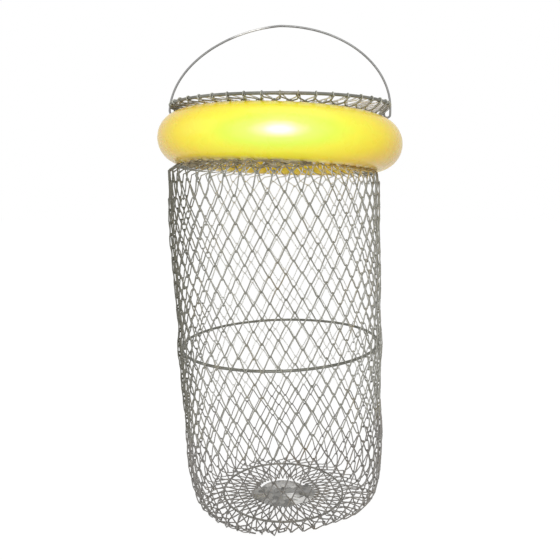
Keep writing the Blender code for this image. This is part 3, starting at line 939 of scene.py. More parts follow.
@dataclass
class Neck:
    """The mesh from the top ring, in through the float and out to the shoulder below it."""

    knit: Knit = replace(KNIT, weave=0.0010)
    shoulder: float = 0.0078
    straight_share: float = 0.62
    hanging_share: float = 0.86
    hanging_middle: float = math.radians(-32)
    hook_room: float = math.radians(3.4)
    hanging_from: float = 0.055
    hanging_span: float = 0.05
    stray: float = 0.0010
    levels: list[float] = field(init=False)
    outline: Outline = field(init=False)

    def __post_init__(self) -> None:
        """Draw the outline and space its knots."""
        s = SIZES
        tube = s.float_tube + s.neck_gap
        foot = s.float_height - tube
        quarter = math.pi / 2
        bend = (s.wall_radius - self.shoulder, foot - self.shoulder)
        start = (s.ring_radius, s.ring_height - s.ring_wire / 2 - self.knit.wire)
        round_float = arc((s.float_radius, s.float_height), (tube, tube), quarter, 3 * quarter, 28)
        under = arc(bend, (self.shoulder, self.shoulder), quarter, 0, 5)
        self.outline = Outline([start, *round_float, *under, (s.wall_radius, s.wall_top)])
        self.levels = self.knit.levels(self.outline, 0.0, self.outline.length)

    @property
    def first_level(self) -> int:
        """The number of the top knots, from which the wall's first knots get an even one."""
        return 1 - len(self.levels) % 2

    @property
    def last_level(self) -> int:
        """The number of the knots where the wall starts."""
        return self.first_level + len(self.levels) - 1

    def surface(self, place: float, angle: float) -> Vector:
        """Find a point of the neck's middle surface.

        Args:
            place: The length down the outline.
            angle: The angle round the axis.

        Returns:
            The point.
        """
        s = SIZES
        crown = s.float_height + s.float_tube + s.neck_gap
        rim = s.ring_height - s.ring_wire
        below = place - self.outline.length + self.hanging_from
        hanging = unit(below / self.hanging_span)
        radius, height = self.outline.at(place - s.slant * math.cos(angle) * hanging)
        near_ring = max(1 - place / (2 * self.knit.leg), 0)
        angle += self.beside_hooks(angle) * near_ring + s.plumb(height) * hanging
        point = Vector((radius * math.cos(angle), radius * math.sin(angle), height))
        if height > crown:
            share = max((rim - height) / (rim - crown), 0)
        else:
            bend_end = s.float_height - s.float_tube - s.neck_gap - self.shoulder
            share = unit((height - s.split_height) / (bend_end - s.split_height))
        outside = (radius - s.float_radius) / (s.wall_radius - s.float_radius)
        if height < s.float_height and outside > 0:
            point *= 1 + s.bulge(angle, height) / radius * min(outside, 1)
            point.z = height
            point.x += s.lean(height) * min(outside, 1)
        middle = Vector((0, 0, s.float_height))
        point = middle + s.float_turn(share) @ (point - middle)
        free = unit((s.float_height - self.knit.leg * 2 - height) * 60)
        return point + unevenness(point, self.stray * free)

    def beside_hooks(self, angle: float) -> float:
        """How far the wires are pushed aside, to leave the bail's hooks their room.

        Args:
            angle: The place round the neck.

        Returns:
            The turn that they are moved by.
        """
        away = (angle + math.pi / 2) % math.pi - math.pi / 2
        reach = 3 * self.knit.pitch
        return math.copysign(self.hook_room * max(1 - abs(away) / reach, 0), away)

    def hanging(self, angle: float) -> float:
        """Find how straight the legs hang under the float, most of all at its right front."""
        return self.hanging_share * max(math.cos(angle - self.hanging_middle), 0) ** 0.6

    def build(self, material: Material) -> None:
        """Build and dress the neck's mesh.

        Args:
            material: The wires' finish.
        """
        count = len(self.levels)
        straight = {row: self.hanging for row in (count - 6, count - 5, count - 4, count - 3)}
        straight[0] = lambda angle: self.straight_share
        rows = self.knit.rows(self.surface, self.levels, self.first_level, straight)
        mesh = wires(rows, self.knit.wire, self.knit.sides, closed=True)
        piece("neck_wires", mesh, material, Body.FRAME, ["neck_mesh"])


@dataclass
class Wall:
    """The folding wall, round in its left corner and sharply folded in its right front one."""

    first_level: int
    knit: Knit = KNIT
    stray: float = 0.0024
    fold_middle: float = math.radians(-44)
    fold_reach: float = math.radians(53)
    fold_edge: float = math.radians(11)
    fold_tip: Point = (0.1176, 0.0096)
    fold_spread: float = 0.35
    fold_dip: float = 0.0046
    dip_middle: float = 0.54
    dip_width: float = 0.17
    tip_slack: float = 0.002
    front_tuck: float = 0.0078
    tuck_middle: float = -0.08
    tuck_width: float = 0.33
    belly: float = 0.0025
    belly_from: float = 0.17
    belly_span: float = 0.05
    hoop_swell: float = 0.0030
    hoop_reach: float = 0.018
    bunch: float = 0.85
    bunch_reach: float = 0.030
    upright_reach: float = 0.10
    end_reach: float = 0.03
    pieces: int = 3
    round_line: Outline = field(init=False)
    folded_line: Outline = field(init=False)
    levels: list[float] = field(init=False)
    tip_place: float = field(init=False)
    folded_tip_place: float = field(init=False)

    def __post_init__(self) -> None:
        """Draw both outlines and space the knots, with one row of them on the fold."""
        s = SIZES
        hem = (s.bottom_radius + 0.0018, s.bottom_height - 0.0004)
        middle = (s.foot_outer, s.corner_height)
        floor = self.knit.wire / 2 + self.knit.weave
        radii = (s.wall_radius - s.foot_outer, s.corner_height - floor)
        corner = arc(middle, radii, 0, -math.pi / 2, 20)
        top = (s.wall_radius, s.wall_top)
        self.round_line = Outline([top, *corner, (s.foot_inner, floor), hem])
        slope = [(s.wall_radius, 0.088), (0.1435, 0.062), (0.1392, 0.043), (0.1325, 0.0255)]
        self.folded_line = Outline([top, *slope, self.fold_tip, (0.1075, 0.0120), hem])
        self.levels = self.knit.levels(self.round_line, 0.0, self.round_line.length)
        self.folded_tip_place = self.folded_line.lengths[-3]
        share = self.folded_tip_place / self.folded_line.length * self.round_line.length
        self.tip_place = min(self.levels, key=lambda place: abs(place - share))

    def surface(self, place: float, angle: float) -> Vector:
        """Find a point of the wall's middle surface.

        Args:
            place: The length down the outline.
            angle: The angle round the axis.

        Returns:
            The point.
        """
        s = SIZES
        level = unit((self.tip_place - place) / self.upright_reach)
        angle += s.plumb(self.round_line.at(place)[1]) * level
        place -= s.slant * math.cos(angle) * level
        held = unit((self.round_line.length - place) / self.end_reach)
        past = place - self.tip_place
        bunched = 1 - self.bunch * hump(past, self.bunch_reach) * (past < 0)
        radius, height = self.round_line.at(self.tip_place + past * bunched)
        if place < self.tip_place:
            folded = place * self.folded_tip_place / self.tip_place
        else:
            share = (place - self.tip_place) / (self.round_line.length - self.tip_place)
            rest = self.folded_line.length - self.folded_tip_place
            folded = self.folded_tip_place + share * rest
        corner = unit((s.wall_radius - radius) / (s.wall_radius - s.foot_outer))
        from_front = angle_from(FRONT, angle)
        tuck = self.front_tuck * hump(from_front - self.tuck_middle, self.tuck_width)
        radius -= tuck * corner * held
        sharp_radius, sharp_height = self.folded_line.at(folded)
        deep = (s.wall_radius - sharp_radius) / (s.wall_radius - self.fold_tip[0])
        if place < self.tip_place + self.tip_slack:
            spread = self.fold_spread * max(math.cos(angle) - 0.7, 0) / 0.3
            dip = self.fold_dip * hump(from_front - self.dip_middle, self.dip_width)
            sharp_radius += (s.wall_radius - sharp_radius) * spread - dip * deep
        away = abs(angle_from(self.fold_middle, angle))
        sharp = unit((self.fold_reach - away) / self.fold_edge)
        radius += (sharp_radius - radius) * sharp
        height += (sharp_height - height) * sharp
        hoop_height = s.mid_height + s.mid_radius * math.sin(s.mid_tilt) * math.cos(angle)
        radius += self.hoop_swell * hump(height - hoop_height, self.hoop_reach)
        radius += s.bulge(angle, height)
        point = Vector((radius * math.cos(angle), radius * math.sin(angle), height))
        low = unit((self.belly_from - height) / self.belly_span)
        point.x += s.lean(height) + self.belly * low * held
        loose = min(place / self.end_reach, 1) * held
        point += unevenness(point, self.stray * loose)
        point.z = max(point.z, self.knit.wire / 2 + self.knit.weave)
        return point

    def build(self, upper: Material, lower: Material) -> None:
        """Build and dress the wall in bands.

        Args:
            upper: The finish of the higher bands.
            lower: The finish of the lowest band.
        """
        rows = self.knit.rows(self.surface, self.levels, self.first_level)
        size = math.ceil(len(rows) / self.pieces)
        for band in range(self.pieces):
            paths = rows[band * size : (band + 1) * size]
            mesh = wires(paths, self.knit.wire, self.knit.sides, closed=True)
            material = lower if band == self.pieces - 1 else upper
            replaces = ["body_mesh"] if band == 0 else []
            fold_up(piece(f"wall_wires_{band + 1}", mesh, material, Body.FRAME, replaces))


@dataclass
class Gather:
    """Mesh wires that have bunched up into a band, as under the front of the float."""

    name: str = "gathered_wires"
    folds: bool = False
    wire: float = 0.0014
    from_angle: float = FRONT - math.radians(50)
    to_angle: float = FRONT + math.radians(18)
    radius: float = 0.1485
    low: float = 0.4962
    high: float = 0.5064
    strands: int = 7
    taper: float = math.radians(14)
    sway: float = 0.0011
    spread: float = 0.0014
    clear: float = 0.0012

    def place(self, strand: int, angle: float) -> Vector:
        """Find a point of one bunched wire.

        Args:
            strand: The wire's number, from the lowest.
            angle: The angle round the axis.

        Returns:
            The point, clear of the float.
        """
        s = SIZES
        ends = min(angle - self.from_angle, self.to_angle - angle) / self.taper
        share = (strand + 0.5) / self.strands - 0.5
        height = (self.low + self.high) / 2 + (self.high - self.low) * share * min(0.25 + ends, 1)
        wave = math.sin(angle * (38 + 9 * (strand % 4)) + strand * 2.1)
        flat = Vector((math.cos(angle), math.sin(angle), 0))
        stray = noise.noise_vector(flat * 11 + Vector((0, 0, strand * 3.7)))
        height += self.sway * (wave + 0.9 * stray.z)
        curl = math.cos(angle * 31 + strand * 1.7)
        radius = self.radius + self.spread * (stray.x + curl * 0.6)
        middle = s.float_height + (s.float_turn() @ (flat * s.float_radius)).z
        across = radius + s.lean(height) * flat.x - s.float_radius
        drop = middle - height
        away = math.hypot(across, drop)
        room = s.float_tube + self.clear + self.wire / 2
        if away < room:
            across, drop = across * room / away, drop * room / away
            radius, height = across + s.float_radius - s.lean(height) * flat.x, middle - drop
        point = flat * radius + Vector((0, 0, height))
        point.x += s.lean(height)
        return point

    def build(self, material: Material) -> None:
        """Build and dress the bunched wires.

        Args:
            material: The wires' finish.
        """
        steps = 170
        turns = [
            self.from_angle + (self.to_angle - self.from_angle) * step / steps
            for step in range(steps + 1)
        ]
        paths = [[self.place(strand, turn) for turn in turns] for strand in range(self.strands)]
        mesh = wires(paths, self.wire, 6, closed=False)
        band = piece(self.name, mesh, material, Body.FRAME)
        if self.folds:
            fold_up(band)


CORNER_GATHER = Gather(
    "corner_wires",
    folds=True,
    from_angle=FRONT - math.radians(88),
    to_angle=FRONT - math.radians(18),
    radius=0.1232,
    low=0.0036,
    high=0.0085,
    strands=3,
    sway=0.0006,
)


@dataclass
class Ring:
    """One of the basket's hoops, with its own node."""

    name: str
    node: str
    radius: float
    wire: float
    centre: Vector
    body: Body
    ripple: float = 0.0006
    tilt: float = 0.0

    def build(self, material: Material) -> None:
        """Build and dress the hoop."""
        mesh = hoop(self.radius, self.wire, self.centre, self.ripple, self.tilt)
        piece(self.name, mesh, material, self.body, [self.node])


@dataclass
class Wraps:
    """Turns of mesh wire that tie a net to a hoop."""

    name: str
    ring: Ring
    angles: Sequence[float]
    wire: float = 0.0015
    turns: float = 1.35
    skew: float = 0.0022
    seat: float = 0.0001
    steps: int = 12

    def build(self, material: Material) -> None:
        """Build and dress the turns.

        Args:
            material: The wires' finish.
        """
        paths = []
        reach = (self.ring.wire + self.wire) / 2 + self.seat
        for number, angle in enumerate(self.angles):
            outward = Vector((math.cos(angle), math.sin(angle), 0))
            along = Vector((-math.sin(angle), math.cos(angle), 0))
            middle = self.ring.centre + outward * self.ring.radius
            lean = self.skew * math.sin(number * 2.4)
            path = []
            for step in range(self.steps + 1):
                share = step / self.steps
                turn = -math.pi / 2 + (share - 0.5) * self.turns * FULL_TURN + math.pi
                ring_point = outward * math.cos(turn) + Vector((0, 0, math.sin(turn)))
                slide = (share - 0.5) * (self.wire * 1.5 + lean)
                path.append(middle + ring_point * reach + along * slide)
            paths.append(path)
        mesh = wires(paths, self.wire, 6, closed=False)
        piece(self.name, mesh, material, self.ring.body)


@dataclass
class Float:
    """The blown ring float and the plug in its blow hole."""

    segments: int = 144
    sides: int = 48
    seam: float = 0.0004
    seam_reach: float = 0.14
    plug_radius: float = 0.006
    plug_height: float = 0.0014
    plug_angle: float = math.radians(-40)

    @property
    def tilt(self) -> Matrix:
        """The turn and place of the float's own axis."""
        lifted = Matrix.Translation((0, 0, SIZES.float_height))
        return lifted @ SIZES.float_turn().to_4x4()

    def build(self, material: Material) -> None:
        """Build and dress the float and its plug."""
        self.build_shell(material)
        self.build_plug(material)

    def build_shell(self, material: Material) -> None:
        """Spin the float's round section, with a fine mould seam on its inner side.

        Args:
            material: Its finish.
        """
        tube = SIZES.float_tube
        bm = bmesh.new()
        bmesh.ops.create_circle(bm, segments=self.sides, radius=tube)
        for vert in bm.verts:
            near_seam = max(1 - abs(math.atan2(vert.co.y, -vert.co.x)) / self.seam_reach, 0)
            vert.co *= 1 - self.seam / tube * near_seam
        sweep_round(bm, SIZES.float_radius, self.segments)
        bmesh.ops.transform(bm, matrix=self.tilt, verts=bm.verts)
        piece("float_skin", mesh_of(bm), material, Body.FLOAT, ["float_shell"])

    def build_plug(self, material: Material) -> None:
        """Turn the plug's round head with its rim and the dimple in its middle.

        Args:
            material: Its finish.
        """
        outward = Vector((0, math.cos(self.plug_angle), math.sin(self.plug_angle)))
        surface = Vector((0, SIZES.float_radius, 0)) + outward * SIZES.float_tube
        turn = outward.to_track_quat("Z", "Y").to_matrix().to_4x4()
        wide, high = self.plug_radius, self.plug_height
        shank, depth = wide * 0.66, -0.004
        line = [(0, high * 0.55), (wide * 0.35, high * 0.6), (wide * 0.5, high), (wide * 0.86, high)]
        line += [(wide, high * 0.55), (wide, 0.0001), (shank, 0.0), (shank, depth), (0, depth)]
        bm = turn_profile(line)
        place = self.tilt @ Matrix.Translation(surface) @ turn
        bmesh.ops.transform(bm, matrix=place, verts=bm.verts)
        piece("float_stopper", mesh_of(bm), material, Body.FLOAT, ["float_plug"])


@dataclass
class Bail:
    """The arch of wire that carries the basket, with an open hook at each end."""

    wire: float = 0.003
    rise: float = 0.1113
    foot_drop: float = 0.004
    slump: float = 0.0062
    hook_radius: float = 0.00425
    left_drop: float = 0.006
    right_drop: float = 0.0105
    nub: float = 0.006
    steps: int = 96

    def hook(self, drop: float) -> list[Point]:
        """Bend the right hand one of the hooks.

        Args:
            drop: How far its bend lies below the ring's middle.

        Returns:
            The outline from its end inside the ring to its leg outside.
        """
        s = SIZES
        radii = (self.hook_radius, self.hook_radius)
        bend = (s.ring_radius, s.ring_height - drop)
        end = (s.ring_radius - self.hook_radius, s.ring_height + self.nub)
        return [end, *arc(bend, radii, math.pi, FULL_TURN, 16)]

    def build(self, material: Material) -> None:
        """Bend and dress the bail.

        Args:
            material: Its finish.
        """
        half_span = SIZES.ring_radius + self.hook_radius
        foot = SIZES.ring_height - self.foot_drop
        arch = []
        for turn in (math.pi * step / self.steps for step in range(self.steps + 1)):
            outward = Vector((self.rise * math.cos(turn), half_span * math.sin(turn))).normalized()
            slump = self.slump * max(-math.sin(2 * turn), 0)
            x = half_span * math.cos(turn) - slump * outward.x
            arch.append((x, foot + self.rise * math.sin(turn) - slump * outward.y))
        left = [(-x, z) for x, z in reversed(self.hook(self.left_drop))]
        line = self.hook(self.right_drop) + arch + left
        path = [Vector((x, 0, z)) for x, z in line]
        mesh = wires([path], self.wire, 14, closed=False)
        piece("bail_wire", mesh, material, Body.BAIL, ["bail"])


@dataclass
class FlatNet:
    """A net of knitted wire between two hoops, flat or sloping in."""

    name: str
    node: str
    body: Body
    outer: Point
    inner: Point
    centre: Vector
    knit: Knit
    first_level: int = 0
    stray: float = 0.0008
    outline: Outline = field(init=False)

    def __post_init__(self) -> None:
        """Draw the net's outline."""
        self.outline = Outline([self.outer, self.inner])

    def surface(self, place: float, angle: float) -> Vector:
        """Find a point of the net.

        Args:
            place: The length in from the outer hoop.
            angle: The angle round the axis.

        Returns:
            The point.
        """
        radius, height = self.outline.at(place)
        point = Vector((radius * math.cos(angle), radius * math.sin(angle), height))
        held = min(place, self.outline.length - place) / 0.015
        return self.centre + point + unevenness(point + self.centre, self.stray * min(max(held, 0), 1))

    def build(self, material: Material) -> None:
        """Knit and dress the net.

        Args:
            material: The wires' finish.
        """
        places = self.knit.levels(self.outline, 0.0, self.outline.length)
        rows = self.knit.rows(self.surface, places, self.first_level)
        mesh = wires(rows, self.knit.wire, self.knit.sides, closed=True)
        piece(self.name, mesh, material, self.body, [self.node])


@dataclass
class Hinge:
    """The lid's hinge: its rod, two links and the sprung wire."""

    rod: float = 0.003
    rod_half: float = 0.0420
    link_wire: float = 0.0015
    link_spread: float = 0.022
    spring_wire: float = 0.0012
    spring_radius: float = 0.0025
    curls: int = 6
    pitch: float = 0.0018
    leg: float = 0.028
    seat: float = 0.0003

    def build(self, rod: Material, spring: Material) -> None:
        """Build and dress the hinge.

        Args:
            rod: The finish of the rod and the links.
            spring: The finish of the spring.
        """
        self.build_rod(rod)
        self.build_link("left", -self.link_spread, rod)
        self.build_link("right", self.link_spread, rod)
        self.build_spring(spring)
        self.build_tail(spring)

    def build_rod(self, material: Material) -> None:
        """Draw the rod, a straight wire.

        Args:
            material: Its finish.
        """
        back, height = SIZES.hinge_back, SIZES.lid_height
        ends = [Vector((x, back, height)) for x in (-self.rod_half, self.rod_half)]
        mesh = wires([[ends[0], ends[0] * 0.5 + ends[1] * 0.5, ends[1]]], self.rod, 14, closed=False)
        piece("hinge_pin", mesh, material, Body.FRAME, ["hinge_rod"])

    def build_link(self, side: str, x: float, material: Material) -> None:
        """Bend one closed link round the rod and the back of the lid's hoop.

        Args:
            side: The side's name.
            x: Its place beside the middle.
            material: Its finish.
        """
        s = SIZES
        front = s.lid_offset + math.sqrt(s.lid_radius**2 - x**2)
        reach = self.rod / 2 + self.seat + self.link_wire / 2
        half = math.pi / 2
        line = arc((s.hinge_back, s.lid_height), (reach, reach), -half, half, 10)
        line += arc((front, s.lid_height), (reach, reach), half, 3 * half, 10)
        mesh = wires([[Vector((x, y, z)) for y, z in line]], self.link_wire, 10, closed=True)
        piece(f"hinge_loop_{side}", mesh, material, Body.LID, [f"hinge_link_{side}"])

    def build_spring(self, material: Material) -> None:
        """Wind the coil, with the leg that pushes the lid shut.

        Args:
            material: Its finish.
        """
        per_curl = 20
        count = self.curls * per_curl
        path = []
        for step in range(count + 1):
            turn = -math.pi / 2 + FULL_TURN * step / per_curl
            x = (step / per_curl - self.curls / 2) * self.pitch
            y = SIZES.hinge_back + self.spring_radius * math.cos(turn)
            path.append(Vector((x, y, SIZES.lid_height + self.spring_radius * math.sin(turn))))
        low = SIZES.lid_height - self.spring_radius
        path.append(Vector((path[-1].x, SIZES.hinge_back - self.leg, low)))
        mesh = wires([path], self.spring_wire, 8, closed=False)
        piece("spring_coil", mesh, material, Body.LID, ["lid_spring"])

    def build_tail(self, material: Material) -> None:
        """Bend the spring's fixed end, up to the underside of the mouth ring.

        Args:
            material: Its finish.
        """
        s = SIZES
        x = -(self.curls / 2 + 1) * self.pitch
        low = s.lid_height - self.spring_radius
        high = s.mouth_height - s.mouth_wire / 2 - self.seat - self.spring_wire / 2
        seat = math.sqrt(s.mouth_radius**2 - x**2)
        run = seat - s.hinge_back
        line = [(0.0, low), (0.30, low), (0.42, low + (high - low) * 0.2)]
        line += [(0.68, high - (high - low) * 0.2), (0.80, high), (1.0, high)]
        path = [Vector((x, s.hinge_back + run * share, z)) for share, z in line]
        path.append(Vector((x, seat + s.mouth_wire / 2, high)))
        mesh = wires([path], self.spring_wire, 8, closed=False)
        piece("spring_end", mesh, material, Body.FRAME, ["spring_tail"])


@dataclass
class BottomDiscs:
    """The crumpled sheet disc on the gathered mesh, its washer and its rivet."""

    radius: float = 0.052
    sheet: float = 0.0008
    dish: float = 0.0035
    washer_radius: float = 0.036
    rivet_radius: float = 0.0045
    net_top: float = 0.0087
    crumple: float = 0.0016
    pleats: int = 48
    knot: Vector = field(default_factory=lambda: Vector((-0.014, -0.018)))
    smooth_turn: float = math.radians(-25)
    smooth_from: float = 0.62
    washer_low: float = 0.0048
    rivet_low: float = 0.0045
    shank: float = 0.002
    cut: tuple[Point, ...] = (
        (-0.050, -0.014),
        (-0.043, -0.029),
        (-0.030, -0.042),
        (-0.010, -0.0510),
        (0.010, -0.0512),
        (0.030, -0.042),
        (0.043, -0.029),
        (0.050, -0.012),
        (0.047, 0.006),
        (0.036, 0.016),
        (0.022, 0.007),
        (0.009, 0.003),
        (-0.010, 0.005),
        (-0.031, 0.007),
        (-0.043, 0.001),
    )
    # Spots round which the sheet's faces get painted glints.
    painted_glint_spots: tuple[Point, ...] = ((0.014, -0.024), (0.022, -0.041), (0.031, -0.030))
    painted_glint_reach: float = 0.0082

    @property
    def centre(self) -> Vector:
        """The middle of the discs, on the ground."""
        return Vector((SIZES.lean(SIZES.bottom_height), 0, 0))

    def build(self, material: Material, bright: Material) -> None:
        """Build and dress the discs and the rivet.

        Args:
            material: The finish of the crumpled sheet.
            bright: The finish of the washer and the rivet.
        """
        self.build_plate(material)
        self.build_washer(bright)
        self.build_rivet(bright)

    def build_plate(self, material: Material) -> None:
        """Fold a piece of thin sheet into pleats round the gathered mesh's knot.

        Args:
            material: Its finish.
        """
        bm = bmesh.new()
        bmesh.ops.create_circle(
            bm, cap_ends=True, cap_tris=True, segments=self.pleats, radius=self.radius
        )
        for vert in bm.verts:
            if vert.is_boundary:
                turn = math.atan2(vert.co.y, vert.co.x)
                way = Vector((math.cos(turn), math.sin(turn)))
                vert.co.xy = self.knot + self.edge_reach(turn) * way
                number = round(turn / FULL_TURN * self.pleats)
                smooth = math.cos(turn - self.smooth_turn) > self.smooth_from
                pleat = 0.5 + 0.5 * (-1) ** (number // 3 if smooth else number)
                vert.co.z = self.crumple * (pleat + noise.noise(vert.co * 60) * 0.6)
            else:
                vert.co.xy = self.knot
                vert.co.z = self.dish
        bmesh.ops.subdivide_edges(bm, edges=bm.edges, cuts=3, use_grid_fill=True)
        bmesh.ops.triangulate(bm, faces=bm.faces)
        for vert in bm.verts:
            if not vert.is_boundary:
                vert.co.z += self.crumple * noise.noise(vert.co * 130 + Vector((2.0, 7.0, 1.0)))
        # Mark the faces that get painted glints.
        painted_glint = bm.faces.layers.float.new("painted_glint")
        for face in bm.faces:
            middle = face.calc_center_median()
            near = [math.dist(middle.xy, spot) < self.painted_glint_reach for spot in self.painted_glint_spots]
            face[painted_glint] = float(any(near))
        bmesh.ops.solidify(bm, geom=bm.faces, thickness=self.sheet)
        lift = self.centre + Vector((0, 0, self.net_top))
        bmesh.ops.translate(bm, vec=lift, verts=bm.verts)
        obj = piece("bottom_patch", mesh_of(bm), material, Body.BOTTOM, ["bottom_plate"])
        obj.data.shade_flat()

    def edge_reach(self, turn: float) -> float:
        """Find how far the sheet's cut edge is from its knot.

        Args:
            turn: The direction.

        Returns:
            The distance.
        """
        way = Vector((math.cos(turn), math.sin(turn)))
        for a, b in zip(self.cut, self.cut[1:] + self.cut[:1]):
            first, second = Vector(a) - self.knot, Vector(b) - self.knot
            span = second - first
            across = way.x * span.y - way.y * span.x
            if abs(across) < MERGE:
                continue
            reach = (first.x * span.y - first.y * span.x) / across
            share = (first.x * way.y - first.y * way.x) / across
            if reach > 0 and 0 <= share <= 1:
                return reach
        return self.radius

    def build_washer(self, material: Material) -> None:
        """Cut and bevel the washer under the mesh.

        Args:
            material: Its finish.
        """
        bm = bmesh.new()
        bmesh.ops.create_circle(bm, cap_ends=True, segments=64, radius=self.washer_radius)
        lifted = bmesh.ops.extrude_face_region(bm, geom=bm.faces)["geom"]
        top = [item for item in lifted if isinstance(item, bmesh.types.BMVert)]
        bmesh.ops.translate(bm, vec=(0, 0, self.sheet), verts=top)
        rims = [edge for edge in bm.edges if len(edge.link_faces) == 2 and edge.calc_face_angle(0) > 1]
        bmesh.ops.bevel(
            bm, geom=rims, offset=0.0002, affect="EDGES", segments=2, profile=0.5, material=-1
        )
        bmesh.ops.translate(bm, vec=self.centre + Vector((0, 0, self.washer_low)), verts=bm.verts)
        piece("bottom_backing", mesh_of(bm), material, Body.BOTTOM, ["bottom_washer"])

    def build_rivet(self, material: Material) -> None:
        """Turn the rivet, with a domed head at each end.

        Args:
            material: Its finish.
        """
        top = self.net_top + self.dish + self.crumple + self.sheet
        wide, low = self.rivet_radius, self.rivet_low
        line = [(0.0, top + 0.0016), (wide * 0.45, top + 0.0014), (wide * 0.85, top + 0.0008)]
        line += [(wide, top), (self.shank, top), (self.shank, low), (wide, low)]
        line += [(wide * 0.8, low - 0.0011), (0.0, low - 0.0014)]
        bm = turn_profile(line)
        bmesh.ops.translate(bm, vec=self.centre, verts=bm.verts)
        piece("bottom_stud", mesh_of(bm), material, Body.BOTTOM, ["bottom_rivet"])


@dataclass(frozen=True)
class Lamp:
    """A soft lamp that faces the basket."""

    name: str
    place: Vector
    size: Point
    watts: float

    def build(self, target: Vector) -> None:
        """Hang the lamp, turned to a point.

        Args:
            target: The point.
        """
        data = bpy.data.lights.new(self.name, "AREA")
        data.shape = "RECTANGLE"
        data.size, data.size_y = self.size
        data.energy = self.watts
        lamp = bpy.data.objects.new(self.name, data)
        lamp.location = self.place
        lamp.rotation_mode = "QUATERNION"
        lamp.rotation_quaternion = (target - self.place).to_track_quat("-Z", "Y")
        bpy.context.scene.collection.objects.link(lamp)


@dataclass(frozen=True)
class Studio:
    """The plain white room, its soft lamps and the camera of the photograph."""

    eye: Point = (-0.908, 0.487)
    pitch: float = math.atan(0.1655)
    lens: float = 40.5
    fill: float = 0.54
    floor_size: float = 12.0
    floor_drop: float = 0.0002
    floor_glow: float = 1.1
    shadow_share: float = 0.16
    target: Vector = Vector((0, 0, 0.4))
    lamps: tuple[Lamp, ...] = (
        Lamp("front_strip", Vector((0.0, -1.75, 0.62)), (0.66, 2.1), 16.0),
        Lamp("over", Vector((0.3, -0.6, 2.1)), (1.6, 1.6), 6.5),
        Lamp("left_side", Vector((-1.9, -0.4, 1.0)), (1.2, 1.6), 4.0),
    )

    def build(self) -> None:
        """Set up the camera, the world, the floor and the lamps."""
        bpy.context.scene.view_settings.view_transform = "Standard"
        self.build_camera()
        self.build_world()
        self.build_floor()
        for lamp in self.lamps:
            lamp.build(self.target)

    def build_camera(self) -> None:
        """Place the camera where the photograph was taken from."""
        data = bpy.data.cameras.new("camera")
        data.lens = self.lens
        data.sensor_width = 36.0
        camera = bpy.data.objects.new("camera", data)
        camera.location = (0.0, *self.eye)
        camera.rotation_euler = (math.pi / 2 - self.pitch, 0, 0)
        bpy.context.scene.collection.objects.link(camera)
        bpy.context.scene.camera = camera

    def build_world(self) -> None:
        """Fill the room with even light, and show it white to the camera and in gloss."""
        world = bpy.data.worlds.new("room")
        bpy.context.scene.world = world
        world.use_nodes = True
        nodes, links = world.node_tree.nodes, world.node_tree.links
        seen = self.seen_share(nodes, links)
        level = nodes.new("ShaderNodeMapRange")
        level.inputs["To Min"].default_value = self.fill
        level.inputs["To Max"].default_value = 1.0
        links.new(seen, level.inputs["Value"])
        background = nodes["Background"]
        background.inputs["Color"].default_value = (1.0, 1.0, 1.0, 1.0)
        links.new(level.outputs[0], background.inputs["Strength"])

    @staticmethod
    def seen_share(nodes: bpy.types.Nodes, links: bpy.types.NodeLinks) -> Socket:
        """Make a value of 1 for what the camera, gloss or glass sees directly.

        Args:
            nodes: The tree's nodes.
            links: The tree's links.

        Returns:
            The value.
        """
        path = nodes.new("ShaderNodeLightPath")
        seen = path.outputs["Is Camera Ray"]
        for ray in ("Is Glossy Ray", "Is Transmission Ray"):
            either = nodes.new("ShaderNodeMath")
            either.operation = "MAXIMUM"
            links.new(seen, either.inputs[0])
            links.new(path.outputs[ray], either.inputs[1])
            seen = either.outputs[0]
        return seen

    def build_floor(self) -> None:
        """Lay the pale floor, which shows white with the object's soft shadow."""
        bm = bmesh.new()
        bmesh.ops.create_grid(bm, x_segments=1, y_segments=1, size=self.floor_size / 2)
        mesh = bpy.data.meshes.new("floor")
        bm.to_mesh(mesh)
        bm.free()
        floor = bpy.data.objects.new("floor", mesh)
        floor.location.z = -self.floor_drop
        bpy.context.scene.collection.objects.link(floor)
        material = bpy.data.materials.new("floor")
        material.use_nodes = True
        nodes, links = material.node_tree.nodes, material.node_tree.links
        shader, output = nodes["Principled BSDF"], nodes["Material Output"]
        shader.inputs["Base Color"].default_value = (0.9, 0.9, 0.9, 1.0)
        shader.inputs["Roughness"].default_value = 0.9
        glow = nodes.new("ShaderNodeEmission")
        glow.inputs["Strength"].default_value = self.floor_glow
        mix = nodes.new("ShaderNodeMixShader")
        share = nodes.new("ShaderNodeMath")
        share.operation = "MULTIPLY"
        share.inputs[1].default_value = 1 - self.shadow_share
        links.new(self.seen_share(nodes, links), share.inputs[0])
        for source, socket in zip((share, shader, glow), mix.inputs):
            links.new(source.outputs[0], socket)
        links.new(mix.outputs[0], output.inputs["Surface"])
        mesh.materials.append(material)


def knot_angles(level: int, knit: Knit, neck: Neck | None = None) -> list[float]:
    """List the angles of one row of knots.

    Args:
        level: The row's number, whose parity sets the angles.
        knit: The mesh.
        neck: The neck, where its wires stand aside for the hooks.

    Returns:
        The angles.
    """
    angles = [knit.drawn((number + (level % 2) / 2) * knit.pitch) for number in range(knit.cells)]
    return [angle + neck.beside_hooks(angle) for angle in angles] if neck else angles


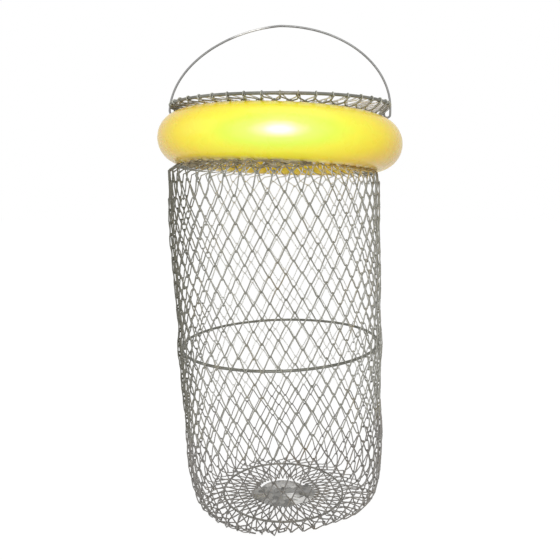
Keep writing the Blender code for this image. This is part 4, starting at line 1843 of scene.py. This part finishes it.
def main() -> None:
    """Build every piece round the frame, then the studio."""
    logging.basicConfig(level=logging.INFO, format="%(name)s: %(message)s")
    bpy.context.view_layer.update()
    noise.seed_set(NOISE_START)
    s = SIZES
    mesh_zinc = MESH_FINISH.material()
    lower_zinc = LOWER_MESH_FINISH.material()
    ring_zinc = RING_FINISH.material()

    neck = Neck()
    neck.build(NECK_FINISH.material())
    Wall(first_level=neck.last_level).build(mesh_zinc, lower_zinc)
    Gather().build(GATHER_FINISH.material())
    CORNER_GATHER.build(lower_zinc)
    Float().build(FLOAT_FINISH.material())
    Bail().build(BAIL_FINISH.material())

    high = Vector((0, 0, s.ring_height))
    mouth = Vector((0, 0, s.mouth_height))
    middle = Vector((s.lean(s.mid_height), 0, s.mid_height))
    bottom = Vector((s.lean(s.bottom_height), 0, s.bottom_height))
    lid = Vector((0, s.lid_offset, s.lid_height))
    top_ring = Ring("top_hoop", "top_ring", s.ring_radius, s.ring_wire, high, Body.FRAME)
    mouth_ring = Ring("mouth_hoop", "mouth_ring", s.mouth_radius, s.mouth_wire, mouth, Body.FRAME)
    mid_ring = Ring(
        "middle_hoop", "mid_ring", s.mid_radius, s.ring_wire, middle, Body.MIDDLE, tilt=s.mid_tilt
    )
    bottom_ring = Ring("bottom_hoop", "bottom_ring", s.bottom_radius, s.thin_wire, bottom, Body.BOTTOM)
    lid_ring = Ring("lid_hoop", "lid_ring", s.lid_radius, s.thin_wire, lid, Body.LID, 0.0)
    for ring in (top_ring, mouth_ring, mid_ring, lid_ring):
        ring.build(ring_zinc)
    bottom_ring.build(LOW_RING_FINISH.material())

    top_wraps = Wraps("top_wraps", top_ring, knot_angles(neck.first_level, KNIT, neck))
    top_wraps.build(WRAP_FINISH.material())
    top_net = FlatNet(
        "top_wires",
        "top_net",
        Body.FRAME,
        (s.ring_radius - 0.0042, s.ring_height - 0.0012),
        (s.mouth_radius + 0.0036, s.mouth_height),
        Vector((0, 0, 0)),
        Knit(leg=0.0285),
        neck.first_level,
    )
    top_net.build(NET_FINISH.material())
    Wraps("mouth_wraps", mouth_ring, knot_angles(0, KNIT), 0.0013).build(mesh_zinc)
    FlatNet(
        "lid_wires",
        "lid_net",
        Body.LID,
        (s.lid_radius - 0.0032, 0.0),
        (0.0145, 0.0),
        lid,
        Knit(cells=22, leg=0.0235, weave=0.0009),
    ).build(mesh_zinc)
    Hinge().build(ring_zinc, SPRING_FINISH.material())
    FlatNet(
        "bottom_wires",
        "bottom_net",
        Body.BOTTOM,
        (s.bottom_radius - 0.0032, 0.0),
        (0.040, 0.0),
        bottom,
        Knit(leg=0.0172, weave=0.0008),
    ).build(lower_zinc)
    BottomDiscs().build(SHEET_FINISH.material(), WASHER_FINISH.material())
    Studio().build()


if __name__ == "__main__":
    main()
